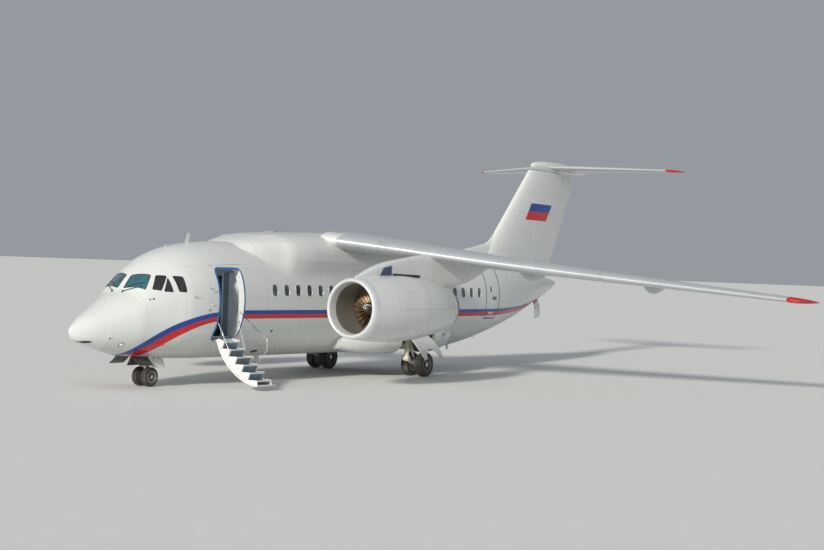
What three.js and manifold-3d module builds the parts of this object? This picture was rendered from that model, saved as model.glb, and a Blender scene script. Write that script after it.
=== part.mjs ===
// A regional jet as it parks: high wing, T-tail, two turbofans under the wing, airstair open.
// Millimetres. x is the station aft of the nose tip, y is to starboard, z is up from the ground.
import * as THREE from "three";
import { mergeVertices } from "three/addons/utils/BufferGeometryUtils.js";
import Module from "manifold-3d";

const wasm = await Module();
wasm.setup();

// Driving dimensions
const LENGTH = 29130;
const SPAN = 28910;
const GAP = 0.4;
const CUT = 0.4;
const RING_SIDES = 24;
const ROUND_SIDES = 16;

// Fuselage sections: station, belly, crown, half width, height of the widest point
const FUSELAGE = [
  [0, 1570, 1600, 20, 1585],
  [60, 1469, 1694, 80, 1592],
  [200, 1345, 1818, 203, 1612],
  [500, 1237, 2020, 412, 1676],
  [950, 1107, 2266, 647, 1785],
  [1400, 987, 2514, 869, 1915],
  [1760, 903, 2711, 1039, 2030],
  [2120, 873, 3107, 1158, 2070],
  [2650, 830, 3525, 1352, 2215],
  [3200, 795, 3823, 1542, 2330],
  [3850, 770, 4030, 1630, 2400],
  [4600, 755, 4150, 1668, 2450],
  [5450, 750, 4215, 1675, 2480],
  [9000, 740, 4290, 1675, 2500],
  [16800, 745, 4360, 1675, 2520],
  [17650, 790, 4365, 1668, 2540],
  [18500, 900, 4365, 1645, 2580],
  [19700, 1130, 4350, 1570, 2650],
  [21100, 1450, 4320, 1400, 2760],
  [22600, 1850, 4120, 1150, 2920],
  [24000, 2330, 3800, 860, 3060],
  [25200, 2700, 3500, 540, 3110],
  [26390, 3060, 3320, 150, 3190],
];
const FUSELAGE_EXPONENT = 2.1;

// Where the fuselage is split, with the extra rings of each piece
const RADOME_END = 950;
const COCKPIT_END = 3850;
const VESTIBULE_END = 5450;
const CABIN_END = 16800;
const TAIL_START = 20500;
const TAIL_END = 26390;

// Doorway, vestibule and airstair
const DOORWAY = { front: 4180, back: 5155, floor: 1390, top: 3395, corner: 120 };
const VESTIBULE = { front: 3950, back: 5350, wall: 215, ceiling: 3450, starboard: 1200 };
const STAIR_HINGE = { y: -1420, z: 1360 };
const STAIR_OPEN = THREE.MathUtils.degToRad(127);
const STAIR = { front: 4195, back: 5140, near: 4240, far: 4850, cheek: 30, skin: 40, foot: 1405, head: 3380 };
const STEPS = {
  count: 6, firstY: -1780, firstZ: 1330, run: 250, rise: 205, undercut: 80, plate: 22, landing: 60,
};
// Folding stays: the pivot on the door jamb, then the end at the open stair
const STAYS = {
  front: [[4210, -1460, 2020], [4210, -1990, 1090]],
  back: [[5115, -1560, 2170], [4905, -2578, 1574]],
};
const STAY_RADIUS = 9;
const HANDRAIL = [[-2460, 690], [-2840, 1140], [-2830, 1450], [-2600, 1562]];
const HINGE_BARRELS = [4330, 4640];
const BARREL = 150;

// Cockpit glazing band
const GLAZING = { thickness: 45, sill: 2735, head: 3180, frontX: 1400, sillEnd: 3090, headEnd: 2900 };

// Wing: leading edge station and sweep, chords, thickness ratios
const WING = { rootY: 1700, rootLead: 9250, sweep: 27.8, rootChord: 4600, tipChord: 1500 };
const WING_LEAD_Z = [[0, 4550], [1700, 4390], [6000, 3880], [14455, 3030]];
const WING_THICKNESS = [0.135, 0.11];
const WING_INCIDENCE = 2.5;
const WING_START = 1450;
const PANEL_START = 1760;
const SLAT_END = 0.1;
const FLAP_START = 0.72;
const FLAP_TIP = 9900;
const AILERON_TIP = 13700;
const TIP_START = 14000;
// Flap track fairings: butt line, front, back, depth
const TRACK_FAIRINGS = [[6100, 13330, 15450, 280], [9750, 14800, 16500, 230]];

// Saddle fairing over the wing roots: station, top, half width
const SADDLE = [
  [5700, 4120, 800],
  [6400, 4370, 1150],
  [7100, 4515, 1380],
  [7500, 4550, 1640],
  [8500, 4600, 1710],
  [11500, 4670, 1720],
  [13500, 4620, 1700],
  [15000, 4520, 1500],
  [16500, 4420, 1100],
  [17600, 4250, 700],
];
const SADDLE_MIDDLE = 3850;
const SADDLE_DEPTH = 550;
const SADDLE_EXPONENT = 2.8;

// Engines: butt line, height and the profile radii along the axis
const ENGINE_Y = 4250;
const ENGINE_Z = 2390;
const LIP_BACK = 7110;
const LIP = [[LIP_BACK, 905], [6960, 897], [6860, 862], [6830, 820], [6860, 775], [LIP_BACK, 735]];
const COWL_OUTSIDE = [
  [LIP_BACK, 905], [7600, 955], [8300, 1000], [9100, 1005], [9900, 960], [10700, 855], [11550, 690],
];
const COWL_BORE = 705;
const COWL_INSIDE = [[11550, 660], [8300, COWL_BORE], [LIP_BACK, 735]];
const CORE = [
  [8300, 0], [8300, COWL_BORE - GAP], [11380, 662], [11800, 590], [11800, 560], [11500, 570], [11500, 330],
  [12050, 0],
];
const NOZZLE_END = 11800;
const FAN = { front: 7860, back: 8200, tip: 680, hub: 200, blades: 18, spinner: 7540, shaft: 60 };
const PYLON = [
  [7070, 3310], [7410, 3460], [7940, 3640], [8600, 3790], [9590, 3930], [10500, 4030],
  [12000, 4030], [13300, 3940], [14500, 3860], [14520, 3760], [14000, 3560], [13250, 3290],
  [12800, 3180], [12100, 3085], [11800, 3040], [11300, 2850], [7070, 2850],
];
const PYLON_WIDTH = 340;

// Main gear fairings: station, outer butt line, top, bottom
const SPONSON = [
  [10200, 1330, 1300, 950],
  [10900, 1800, 1600, 830],
  [11900, 2150, 1830, 775],
  [13300, 2320, 1920, 765],
  [14500, 2290, 1920, 775],
  [15300, 2130, 1840, 860],
  [15900, 1850, 1690, 1080],
  [16200, 1500, 1500, 1280],
];
const SPONSON_INNER = 900;
const SPONSON_EXPONENT = 2.4;
const MAIN_BAY = { front: 12450, back: 14300, inner: 950, roof: 1550 };
const NOSE_BAY = { front: 2050, back: 3250, half: 330, roof: 1420 };

// Wheels: radius, tyre width, rim radius, axle station, butt line of the pair, half spacing
const NOSE_WHEEL = { radius: 276, width: 190, rim: 175, x: 2920, y: 0, half: 180, axle: 32 };
const MAIN_WHEEL = { radius: 405, width: 265, rim: 255, x: 13660, y: 2030, half: 280, axle: 40 };
const AXLE_PLAY = 0.1;
const MAIN_LEG_X = 13020;

// Main gear door: station and height of its corners, arched round the wheel, hung under the bay's roof
const MAIN_DOOR = [
  [12650, MAIN_BAY.roof - GAP], [13600, MAIN_BAY.roof - GAP], [13640, 1480], [13980, 1260],
  [14200, 1050], [14290, 830], [14300, 610], [14150, 590], [14090, 740], [13960, 860], [13800, 930],
  [13670, 940], [13540, 910], [13440, 830],
  [13370, 700], [13330, 590], [13200, 590], [13110, 830], [12950, 1080], [12760, 1320],
];
const MAIN_DOOR_TOP_Y = 2230;
const MAIN_DOOR_TILT = 24;
const MAIN_DOOR_PLATE = 34;

// Tail surfaces
const FIN = {
  footZ: 3400, headZ: 7740, leadAtHead: 24170, leadSlope: 0.949, backAtHead: 28120, backSlope: 0.549,
};
const RUDDER = { start: 0.7, footZ: 4120, headZ: 7560 };
// Dorsal fillet: station, top
const DORSAL = [[18900, 4300], [19600, 4420], [20400, 4560], [21000, 4680], [21700, 5140], [22600, 6030]];
const TAILPLANE = { z: 7950, rootLead: 25350, rootChord: 2950, tipLead: 27850, tipChord: 1150, half: 4670 };
const ELEVATOR = { start: 0.7, inner: 300, outer: 4300 };
const BULLET = [
  [24300, 0], [24420, 90], [24700, 160], [25400, 225], [26600, 240], [27800, 190], [28700, 90], [LENGTH, 0],
];
const BULLET_SIDES = 12;
// Tail access doors: station range, hinge line and bay
const TAIL_DOOR = { front: 23400, back: 24350, half: 660, roof: 2950, plate: 30, edge: 16, open: 78 };
// Where its hinge barrels sit along the hinge line, as fractions of its length
const TAIL_HINGES = [0.22, 0.78];
const TAIL_BARREL = { length: 60, radius: 10, swing: 16 };
const REAR_DOOR = { front: 18620, back: 19580, sill: 1900, head: 3780, plate: 45 };

// Materials
const paint = (color) => new THREE.MeshStandardMaterial({ color, roughness: 0.35, metalness: 0.1 });
const WHITE = paint(0xdfe3e2);
const RED = paint(0xc01818);
const GREY = paint(0x8f979b);
const DARK = new THREE.MeshStandardMaterial({ color: 0x1d2226, roughness: 0.15, metalness: 0.1 });
const POLISHED = new THREE.MeshStandardMaterial({ color: 0xc9cdd0, roughness: 0.25, metalness: 0.95 });
const BRONZE = new THREE.MeshStandardMaterial({ color: 0x7a5a3c, roughness: 0.45, metalness: 0.7 });
const RUBBER = new THREE.MeshStandardMaterial({ color: 0x2a2a29, roughness: 0.85, metalness: 0 });
const CREAM = paint(0xd8d2bd);

const SIDES = [[-1, "port"], [1, "starboard"]];
const aircraft = new THREE.Group();
aircraft.position.x = -LENGTH / 2;

function add(name, geometry, material) {
  const mesh = new THREE.Mesh(geometry, material);
  mesh.name = name;
  aircraft.add(mesh);
}

// Solids: to and from the boolean library
function toSolid(geometry) {
  const bare = geometry.clone();
  bare.deleteAttribute("normal");
  bare.deleteAttribute("uv");
  const merged = mergeVertices(bare, 1e-3);
  const vertProperties = new Float32Array(merged.attributes.position.array);
  const triVerts = new Uint32Array(merged.index.array);
  if (signedVolume(vertProperties, triVerts) < 0) triVerts.reverse();
  return new wasm.Manifold(new wasm.Mesh({ numProp: 3, vertProperties, triVerts }));
}

function signedVolume(points, triangles) {
  let sum = 0;
  for (let t = 0; t < triangles.length; t += 3) {
    const [a, b, c] = [0, 1, 2].map((k) => new THREE.Vector3().fromArray(points, 3 * triangles[t + k]));
    sum += a.dot(b.cross(c));
  }
  return sum / 6;
}

// The largest body of a cut: slivers that a cut leaves over are dropped
function toGeometry(solid) {
  const bodies = solid.decompose().sort((a, b) => b.volume() - a.volume());
  const mesh = bodies[0].getMesh();
  const geometry = new THREE.BufferGeometry();
  geometry.setAttribute("position", new THREE.BufferAttribute(new Float32Array(mesh.vertProperties), 3));
  geometry.setIndex(new THREE.BufferAttribute(new Uint32Array(mesh.triVerts), 1));
  geometry.computeVertexNormals();
  return geometry;
}

const joined = (...solids) => solids.reduce((a, b) => a.add(b));

// A skin through rings of equal point count, closed by flat ends. `flat` picks a ring's own two axes.
function loft(rings, flat) {
  const sides = rings[0].length;
  const positions = rings.flat(2);
  const index = [];
  for (let r = 0; r + 1 < rings.length; r++) {
    for (let s = 0; s < sides; s++) {
      const a = r * sides + s;
      const b = r * sides + ((s + 1) % sides);
      index.push(a, b, b + sides, a, b + sides, a + sides);
    }
  }
  const last = (rings.length - 1) * sides;
  const outline = rings[0].map((p) => new THREE.Vector2(p[flat[0]], p[flat[1]]));
  const turn = Math.sign(THREE.ShapeUtils.area(outline));
  for (const [start, ring, facing] of [[0, rings[0], -1], [last, rings.at(-1), 1]]) {
    const contour = ring.map((p) => new THREE.Vector2(p[flat[0]], p[flat[1]]));
    for (const [a, b, c] of THREE.ShapeUtils.triangulateShape(contour, [])) {
      const area = THREE.ShapeUtils.area([contour[a], contour[b], contour[c]]);
      const [p, q] = Math.sign(area) * turn * facing > 0 ? [b, c] : [c, b];
      index.push(start + a, start + p, start + q);
    }
  }
  const geometry = new THREE.BufferGeometry();
  geometry.setAttribute("position", new THREE.Float32BufferAttribute(positions, 3));
  geometry.setIndex(index);
  return toSolid(geometry);
}

// A smooth curve through the rows of a table that never overshoots them
function curveThrough(table, column) {
  const xs = table.map((row) => row[0]);
  const ys = table.map((row) => row[column]);
  const slopes = xs.slice(1).map((x, i) => (ys[i + 1] - ys[i]) / (x - xs[i]));
  const tangents = xs.map((x, i) => {
    const before = slopes[Math.max(i - 1, 0)];
    const after = slopes[Math.min(i, slopes.length - 1)];
    return before * after <= 0 ? 0 : (2 * before * after) / (before + after);
  });
  return (x) => {
    const i = Math.max(0, Math.min(xs.length - 2, xs.findIndex((value) => value >= x) - 1));
    const step = xs[i + 1] - xs[i];
    const t = (x - xs[i]) / step;
    const rise = step * (tangents[i] * t * (1 - t) ** 2 - tangents[i + 1] * t * t * (1 - t));
    return ys[i] + (ys[i + 1] - ys[i]) * t * t * (3 - 2 * t) + rise;
  };
}

// A rounded-square ring: half width, height above and below its middle, and an exponent
function ovalRing(x, middleY, middleZ, half, up, down, exponent) {
  const power = 2 / exponent;
  return Array.from({ length: RING_SIDES }, (_, i) => {
    const angle = (2 * Math.PI * i) / RING_SIDES;
    const [c, s] = [Math.cos(angle), Math.sin(angle)];
    const y = middleY + half * Math.sign(c) * Math.abs(c) ** power;
    return [x, y, middleZ + (s > 0 ? up : down) * Math.sign(s) * Math.abs(s) ** power];
  });
}

// An outline in a plane pushed along x, y or z
function alongX(outline, x0, x1) {
  const shape = new THREE.Shape(outline.map(([y, z]) => new THREE.Vector2(y, z)));
  const geometry = new THREE.ExtrudeGeometry(shape, { depth: x1 - x0, bevelEnabled: false });
  return geometry.applyMatrix4(new THREE.Matrix4().set(0, 0, 1, x0, 1, 0, 0, 0, 0, 1, 0, 0, 0, 0, 0, 1));
}

function alongY(outline, y0, y1, bevel = 0) {
  const shape = new THREE.Shape(outline.map(([x, z]) => new THREE.Vector2(x, z)));
  const options = { depth: y1 - y0 - 2 * bevel, bevelEnabled: bevel > 0, bevelSegments: 1 };
  Object.assign(options, { bevelThickness: bevel, bevelSize: bevel, bevelOffset: -bevel });
  return new THREE.ExtrudeGeometry(shape, options).rotateX(Math.PI / 2).translate(0, y1 - bevel, 0);
}

function box(x0, x1, y0, y1, z0, z1) {
  const geometry = new THREE.BoxGeometry(x1 - x0, y1 - y0, z1 - z0);
  return geometry.translate((x0 + x1) / 2, (y0 + y1) / 2, (z0 + z1) / 2);
}

// A round bar between two points
function bar(from, to, radius, sides = 10, endRadius = radius) {
  const [a, b] = [new THREE.Vector3(...from), new THREE.Vector3(...to)];
  const geometry = new THREE.CylinderGeometry(endRadius, radius, a.distanceTo(b), sides);
  const up = new THREE.Vector3(0, 1, 0);
  geometry.applyQuaternion(new THREE.Quaternion().setFromUnitVectors(up, b.clone().sub(a).normalize()));
  return geometry.translate(...a.add(b).multiplyScalar(0.5).toArray());
}

// A profile of [along, radius] turned about an axis parallel to x or y
function turnedX(profile, y, z, sides = RING_SIDES) {
  const points = profile.map(([along, radius]) => new THREE.Vector2(radius, along));
  return new THREE.LatheGeometry(points, sides).rotateZ(-Math.PI / 2).translate(0, y, z);
}

function turnedY(profile, x, z) {
  const points = profile.map(([along, radius]) => new THREE.Vector2(radius, along));
  return new THREE.LatheGeometry(points, ROUND_SIDES).translate(x, 0, z);
}

const closedLoop = (profile) => [...profile, profile[0]];

// A rectangle in x and z, its upper corners rounded
function roundedTop(x0, x1, z0, z1, radius) {
  const corner = (x, from) => [0, 1, 2, 3, 4].map((i) => {
    const angle = from + (Math.PI / 8) * i;
    return [x + radius * Math.cos(angle), z1 - radius + radius * Math.sin(angle)];
  });
  return [[x0, z0], [x1, z0], ...corner(x1 - radius, 0), ...corner(x0 + radius, Math.PI / 2)];
}

// Fuselage
const belly = curveThrough(FUSELAGE, 1);
const crown = curveThrough(FUSELAGE, 2);
const halfWidth = curveThrough(FUSELAGE, 3);
const widest = curveThrough(FUSELAGE, 4);

function fuselageRing(x, inset) {
  const [middle, half] = [widest(x), halfWidth(x) - inset];
  const [up, down] = [crown(x) - middle - inset, middle - belly(x) - inset];
  return ovalRing(x, 0, middle, half, up, down, FUSELAGE_EXPONENT);
}

const fuselageSkin = (stations, inset = 0) => loft(stations.map((x) => fuselageRing(x, inset)), [1, 2]);

// The skin's butt line at a height, in the constant section
function skinY(x, z) {
  const middle = widest(x);
  const reach = Math.abs(z - middle) / (z > middle ? crown(x) - middle : middle - belly(x));
  return halfWidth(x) * (1 - reach ** FUSELAGE_EXPONENT) ** (1 / FUSELAGE_EXPONENT);
}

const RADOME_RINGS = [0, 25, 70, 160, 330, 600, RADOME_END];
const COCKPIT_RINGS = [RADOME_END, 1350, 1760, 1940, 2120, 2380, 2700, 3200, COCKPIT_END];
const VESTIBULE_RINGS = [COCKPIT_END, 4200, 4600, 5000, VESTIBULE_END];
const CABIN_RINGS = [VESTIBULE_END, 9000, CABIN_END];
const AFT_RINGS = [CABIN_END, 17800, 18800, 19600, TAIL_START];
const TAIL_RINGS = [TAIL_START, 21500, 22500, 23400, 24350, 25200, 25900, TAIL_END];
const pieceRings = (rings) => [rings[0] + GAP, ...rings.slice(1)];
const wholeSkin = fuselageSkin([-CUT, ...RADOME_RINGS.slice(2), ...COCKPIT_RINGS.slice(1),
  ...VESTIBULE_RINGS.slice(1), ...CABIN_RINGS.slice(1), ...AFT_RINGS.slice(1), ...TAIL_RINGS.slice(1)], -CUT);

function glazingBand(grow) {
  const rings = COCKPIT_RINGS.slice(1, -1);
  const outer = fuselageSkin(rings, -grow);
  const longer = [rings[0] - 1, ...rings.slice(1, -1), rings.at(-1) + 1];
  const inner = fuselageSkin(longer, GLAZING.thickness + grow);
  const band = toSolid(alongY([
    [GLAZING.frontX, GLAZING.sill - grow], [GLAZING.sillEnd + grow, GLAZING.sill - grow],
    [GLAZING.headEnd + grow, GLAZING.head + grow], [GLAZING.frontX, GLAZING.head + grow],
  ], -2000, 2000));
  return outer.intersect(band).subtract(inner);
}

function noseBay() {
  return toSolid(box(NOSE_BAY.front, NOSE_BAY.back, -NOSE_BAY.half, NOSE_BAY.half, 0, NOSE_BAY.roof));
}

function mainBay(side) {
  const [a, b] = [side * MAIN_BAY.inner, side * 3000].sort((p, q) => p - q);
  return toSolid(box(MAIN_BAY.front, MAIN_BAY.back, a, b, 0, MAIN_BAY.roof));
}

function buildFuselage() {
  add("radome", toGeometry(fuselageSkin(RADOME_RINGS)), WHITE);
  const cockpit = fuselageSkin(pieceRings(COCKPIT_RINGS)).subtract(glazingBand(CUT)).subtract(noseBay());
  add("nose_fuselage", toGeometry(cockpit), WHITE);
  add("cockpit_glazing", toGeometry(glazingBand(0)), DARK);
  add("forward_fuselage", toGeometry(forwardFuselage()), WHITE);
  const cabin = fuselageSkin(pieceRings(CABIN_RINGS)).subtract(mainBay(1)).subtract(mainBay(-1));
  add("cabin_fuselage", toGeometry(cabin), WHITE);
  add("aft_fuselage", toGeometry(fuselageSkin(pieceRings(AFT_RINGS)).subtract(rearDoor(CUT))), WHITE);
  add("rear_door", toGeometry(rearDoor(0)), WHITE);
  add("tail_cone", toGeometry(hingedTail(fuselageSkin(pieceRings(TAIL_RINGS)))), WHITE);
}

// Forward section: hollow behind the doorway, with lugs for the stair hinge and the stays
function forwardFuselage() {
  const { front, back, floor, top, corner } = DOORWAY;
  const inside = fuselageSkin(VESTIBULE_RINGS, VESTIBULE.wall);
  const { front: roomFront, back: roomBack, starboard, ceiling } = VESTIBULE;
  const room = toSolid(box(roomFront, roomBack, -1700, starboard, floor, ceiling));
  const doorway = toSolid(alongY(roundedTop(front, back, floor, top, corner), -1800, -1100));
  let shell = fuselageSkin(pieceRings(VESTIBULE_RINGS)).subtract(inside.intersect(room)).subtract(doorway);
  for (const x of HINGE_BARRELS) {
    for (const [a, b] of [[x - 40, x - GAP], [x + BARREL + GAP, x + BARREL + 40]]) {
      const lug = toSolid(box(a, b, STAIR_HINGE.y - 18, -1250, STAIR_HINGE.z - 18, STAIR_HINGE.z + 18));
      shell = shell.add(lug);
    }
  }
  for (const [key, wall] of [["front", front - 20], ["back", back + 20]]) {
    const [[x, y, z]] = STAYS[key];
    const face = x + Math.sign(wall - x) * (STAY_RADIUS + GAP);
    shell = shell.add(toSolid(bar([wall, y, z], [face, y, z], 14, 12)));
  }
  return shell;
}

function rearDoor(grow) {
  const { front, back, sill, head, plate } = REAR_DOOR;
  const rings = [front - grow, 18800, back + grow];
  const slab = toSolid(box(front - grow, back + grow, -2000, -100, sill - grow, head + grow));
  const inner = fuselageSkin([front - 1, rings[1], back + 1], plate + grow);
  return fuselageSkin(rings, -grow).subtract(inner).intersect(slab);
}

// Airstair: one curved skin with two saw-toothed cheeks, the folded steps and the stays
function opened([y, z]) {
  const [dy, dz] = [y - STAIR_HINGE.y, z - STAIR_HINGE.z];
  const [c, s] = [Math.cos(STAIR_OPEN), Math.sin(STAIR_OPEN)];
  return [STAIR_HINGE.y + dy * c - dz * s, STAIR_HINGE.z + dy * s + dz * c];
}

function stairSkin(inset) {
  const rows = 9;
  return Array.from({ length: rows + 1 }, (_, i) => {
    const z = STAIR.foot + ((STAIR.head - STAIR.foot) * i) / rows;
    return opened([-skinY(4600, z) + inset, z]);
  });
}

const nosing = (k) => [STEPS.firstY - STEPS.run * k, STEPS.firstZ - STEPS.rise * k];

function sawTeeth(shift) {
  const points = [];
  for (let k = 0; k < STEPS.count; k++) {
    const [y, z] = nosing(k);
    points.push([y + STEPS.run + STEPS.undercut, z + shift], [y, z + shift]);
  }
  return points;
}

function buildAirstair() {
  const { near, far, cheek, skin } = STAIR;
  const inside = stairSkin(skin);
  let shell = stairPanel(inside);
  const teeth = sawTeeth(15);
  const cheekOutline = [...stairSkin(skin / 2), ...[...teeth.slice(1)].reverse()];
  for (const x of [near, far]) {
    shell = shell.add(toSolid(alongX(cheekOutline, x, x + cheek)));
  }
  const hinge = [STAIR_HINGE.y, STAIR_HINGE.z];
  for (const x of HINGE_BARRELS) {
    const knuckle = toSolid(bar([x, ...hinge], [x + BARREL, ...hinge], 20, 16));
    const arm = toSolid(bar([x + BARREL / 2, ...hinge], [x + BARREL / 2, ...inside[1]], 15, 8));
    shell = shell.add(knuckle).add(arm);
  }
  const posts = HANDRAIL.map((p) => [far + cheek / 2, ...p]);
  for (const [i, post] of posts.slice(1).entries()) shell = shell.add(toSolid(bar(posts[i], post, 12, 10)));
  const steps = stepPlate();
  add("airstair_shell", toGeometry(shell.subtract(steps.grown)), WHITE);
  add("airstair_steps", toGeometry(steps.plate), GREY);
  for (const [key, [pivot, end]] of Object.entries(STAYS)) {
    add(`airstair_stay_${key}`, bar(pivot, end, STAY_RADIUS, 10), POLISHED);
  }
}

// The door panel: the curved skin, its head corners rounded like the doorway's
function stairPanel(inside) {
  const { front, back, foot, head } = STAIR;
  const { y, z } = STAIR_HINGE;
  const outline = roundedTop(front, back, foot - STAIR.skin, head, DOORWAY.corner);
  const cutter = alongY(outline, -2000, -1000).translate(0, -y, -z).rotateX(STAIR_OPEN).translate(0, y, z);
  const panel = alongX([...stairSkin(0), ...[...inside].reverse()], front, back);
  return toSolid(panel).intersect(toSolid(cutter));
}

function stepPlate() {
  const x0 = STAIR.near + STAIR.cheek + GAP;
  const x1 = STAIR.far - GAP;
  const top = sawTeeth(0).slice(1);
  const { run, plate } = STEPS;
  const under = top.map(([y, z]) => [y + plate, z - plate]);
  const [y, z] = [top[0][0] + run - STEPS.landing, top[0][1]];
  const outline = [[y, z], ...top, ...under.reverse(), [y, z - plate]];
  return {
    plate: toSolid(alongX(outline, x0, x1)),
    grown: toSolid(alongX(outline, x0 - CUT / 2, x1 + CUT / 2)),
  };
}

// Lifting surfaces: an outline of one section between two chord fractions, as [along, off]
const CHORD_STEPS = [0, 0.008, 0.03, SLAT_END, 0.25, 0.45, FLAP_START, 1];

function sectionOutline({ lead, chord, thickness, camber = 0, off = 0, incidence = 0 }, from, to, grow) {
  const half = (t) => 5 * thickness * (0.2969 * Math.sqrt(t) - 0.126 * t - 0.3516 * t ** 2
    + 0.2843 * t ** 3 - 0.1036 * t ** 4) * chord + 4 * t;
  const middle = (t) => 4 * camber * chord * t * (1 - t);
  const drop = Math.tan(THREE.MathUtils.degToRad(incidence));
  const inner = CHORD_STEPS.filter((t) => t > from + 0.01 && t < to - 0.01);
  const fractions = [from, ...inner, to];
  const along = (t) => lead + chord * t + (t === from ? -grow : t === to ? grow : 0);
  const at = (t, side) => [along(t), off + middle(t) + side * (half(t) + grow) - drop * chord * t];
  const upper = fractions.map((t) => at(t, 1));
  const lower = fractions.map((t) => at(t, -1));
  return [...upper, ...(from === 0 && grow === 0 ? lower.slice(1) : lower).reverse()];
}

function wingSection(y) {
  const t = y / (SPAN / 2);
  const i = Math.max(WING_LEAD_Z.findIndex((row) => row[0] >= y - 1) - 1, 0);
  const [[y0, z0], [y1, z1]] = WING_LEAD_Z.slice(i, i + 2);
  return {
    lead: WING.rootLead + (y - WING.rootY) * Math.tan(THREE.MathUtils.degToRad(WING.sweep)),
    chord: THREE.MathUtils.lerp(WING.rootChord, WING.tipChord, t),
    thickness: THREE.MathUtils.lerp(...WING_THICKNESS, t),
    camber: 0.012,
    off: z0 + ((z1 - z0) * (y - y0)) / (y1 - y0),
    incidence: WING_INCIDENCE,
  };
}

function wingPanel(side, from, to, start, end, grow = 0) {
  const spans = [start - grow, ...[1700, 6000].filter((y) => y > start && y < end), end + grow];
  const rings = spans.map((y) => (
    sectionOutline(wingSection(y), from, to, grow).map(([x, z]) => [x, side * y, z])));
  return loft(rings, [0, 2]);
}

function trackFairing(side, [y, front, back, depth]) {
  const section = wingSection(y);
  const top = section.off - 0.03 * section.chord - 120;
  const rows = [[0, 0.05], [0.18, 0.6], [0.6, 1], [1, 0.05]];
  const rings = rows.map(([t, size]) => {
    const x = front + (back - front) * t;
    return ovalRing(x, side * y, top - 40, 60 + 60 * size, 120 * size + 10, depth * size + 10, 2.2)
      .filter((_, i) => i % 3 === 0);
  });
  return loft(rings, [1, 2]);
}

function buildWing(side, name) {
  const flapGap = GAP / WING.rootChord;
  let main = wingPanel(side, SLAT_END + flapGap, FLAP_START - flapGap, WING_START, TIP_START - GAP);
  const slat = wingPanel(side, 0, SLAT_END, PANEL_START, TIP_START - GAP);
  const flap = wingPanel(side, FLAP_START, 1, PANEL_START, FLAP_TIP);
  const flapCut = wingPanel(side, FLAP_START, 1, PANEL_START, FLAP_TIP, CUT);
  const aileron = wingPanel(side, FLAP_START, 1, FLAP_TIP + GAP, AILERON_TIP);
  const slatCut = wingPanel(side, 0, SLAT_END, PANEL_START, TIP_START, CUT);
  main = main.add(wingPanel(side, SLAT_END + flapGap, 1, AILERON_TIP + GAP, TIP_START - GAP));
  for (const row of TRACK_FAIRINGS) main = main.add(trackFairing(side, row));
  add(`wing_${name}`, toGeometry(main.subtract(flapCut).subtract(slatCut)), WHITE);
  add(`slat_${name}`, toGeometry(slat.subtract(pylonBody(side, CUT))), POLISHED);
  add(`flap_${name}`, toGeometry(flap), WHITE);
  add(`aileron_${name}`, toGeometry(aileron), WHITE);
  add(`wing_tip_${name}`, toGeometry(wingPanel(side, 0, 1, TIP_START, SPAN / 2)), RED);
}

function buildSaddle() {
  const rings = SADDLE.map(([x, top, half]) => (
    ovalRing(x, 0, SADDLE_MIDDLE, half, top - SADDLE_MIDDLE, SADDLE_DEPTH, SADDLE_EXPONENT)));
  let saddle = loft(rings, [1, 2]).subtract(wholeSkin);
  for (const side of [1, -1]) saddle = saddle.subtract(wingPanel(side, 0, 1, WING_START, PANEL_START, CUT));
  add("wing_fairing", toGeometry(saddle), WHITE);
}

// Engines
function nacelleEnvelope(side, grow) {
  const outside = [...LIP.slice(0, 4).reverse(), ...COWL_OUTSIDE.slice(1), [NOZZLE_END, 640]];
  const profile = [[outside[0][0], 0], ...outside.map(([x, r]) => [x, r + grow]), [outside.at(-1)[0], 0]];
  return toSolid(turnedX(profile, side * ENGINE_Y, ENGINE_Z));
}

function pylonBody(side, grow) {
  const outline = PYLON.map(([x, z]) => [x, z]);
  const half = PYLON_WIDTH / 2 + grow;
  return toSolid(alongY(outline, side * ENGINE_Y - half, side * ENGINE_Y + half, 60));
}

function fanBody(side) {
  const { front, back, tip, hub, blades, spinner, shaft } = FAN;
  const [y, z] = [side * ENGINE_Y, ENGINE_Z];
  const end = CORE[0][0] - GAP;
  const nose = [[spinner, 0], [spinner + 40, 60], [spinner + 140, 125], [front, hub]];
  let body = toSolid(turnedX([...nose, [back, hub], [back, shaft], [end, shaft], [end, 0]], y, z, 12));
  for (let k = 0; k < blades; k++) {
    const rows = [[hub - 30, 24], [tip, 56]];
    const rings = rows.map(([radius, twist]) => {
      const angle = THREE.MathUtils.degToRad(twist);
      const [cx, cy] = [110 * Math.cos(angle), 110 * Math.sin(angle)];
      return [[-cx + 3, -cy - 4], [cx + 3, cy - 4], [cx - 3, cy + 4], [-cx - 3, -cy + 4]]
        .map(([dx, dt]) => [(front + back) / 2 + dx, dt, radius]);
    });
    const blade = new THREE.Matrix4().makeRotationX((2 * Math.PI * k) / blades).setPosition(0, y, z);
    const place = (point) => new THREE.Vector3(...point).applyMatrix4(blade).toArray();
    const placed = rings.map((ring) => ring.map(place));
    body = body.add(prism(placed));
  }
  return body;
}

// A skin through four-sided rings in any plane, its opposite faces split along like diagonals
function prism(rings) {
  const index = [0, 2, 1, 0, 3, 2];
  for (let r = 0; r + 1 < rings.length; r++) {
    for (let s = 0; s < 4; s++) {
      const [a, b] = [4 * r + s, 4 * r + ((s + 1) % 4)];
      if (s < 2) index.push(a, b, b + 4, a, b + 4, a + 4);
      else index.push(a, b, a + 4, b, b + 4, a + 4);
    }
  }
  const last = 4 * (rings.length - 1);
  index.push(last, last + 1, last + 2, last, last + 2, last + 3);
  const geometry = new THREE.BufferGeometry();
  geometry.setAttribute("position", new THREE.Float32BufferAttribute(rings.flat(2), 3));
  geometry.setIndex(index);
  return toSolid(geometry);
}

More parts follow.
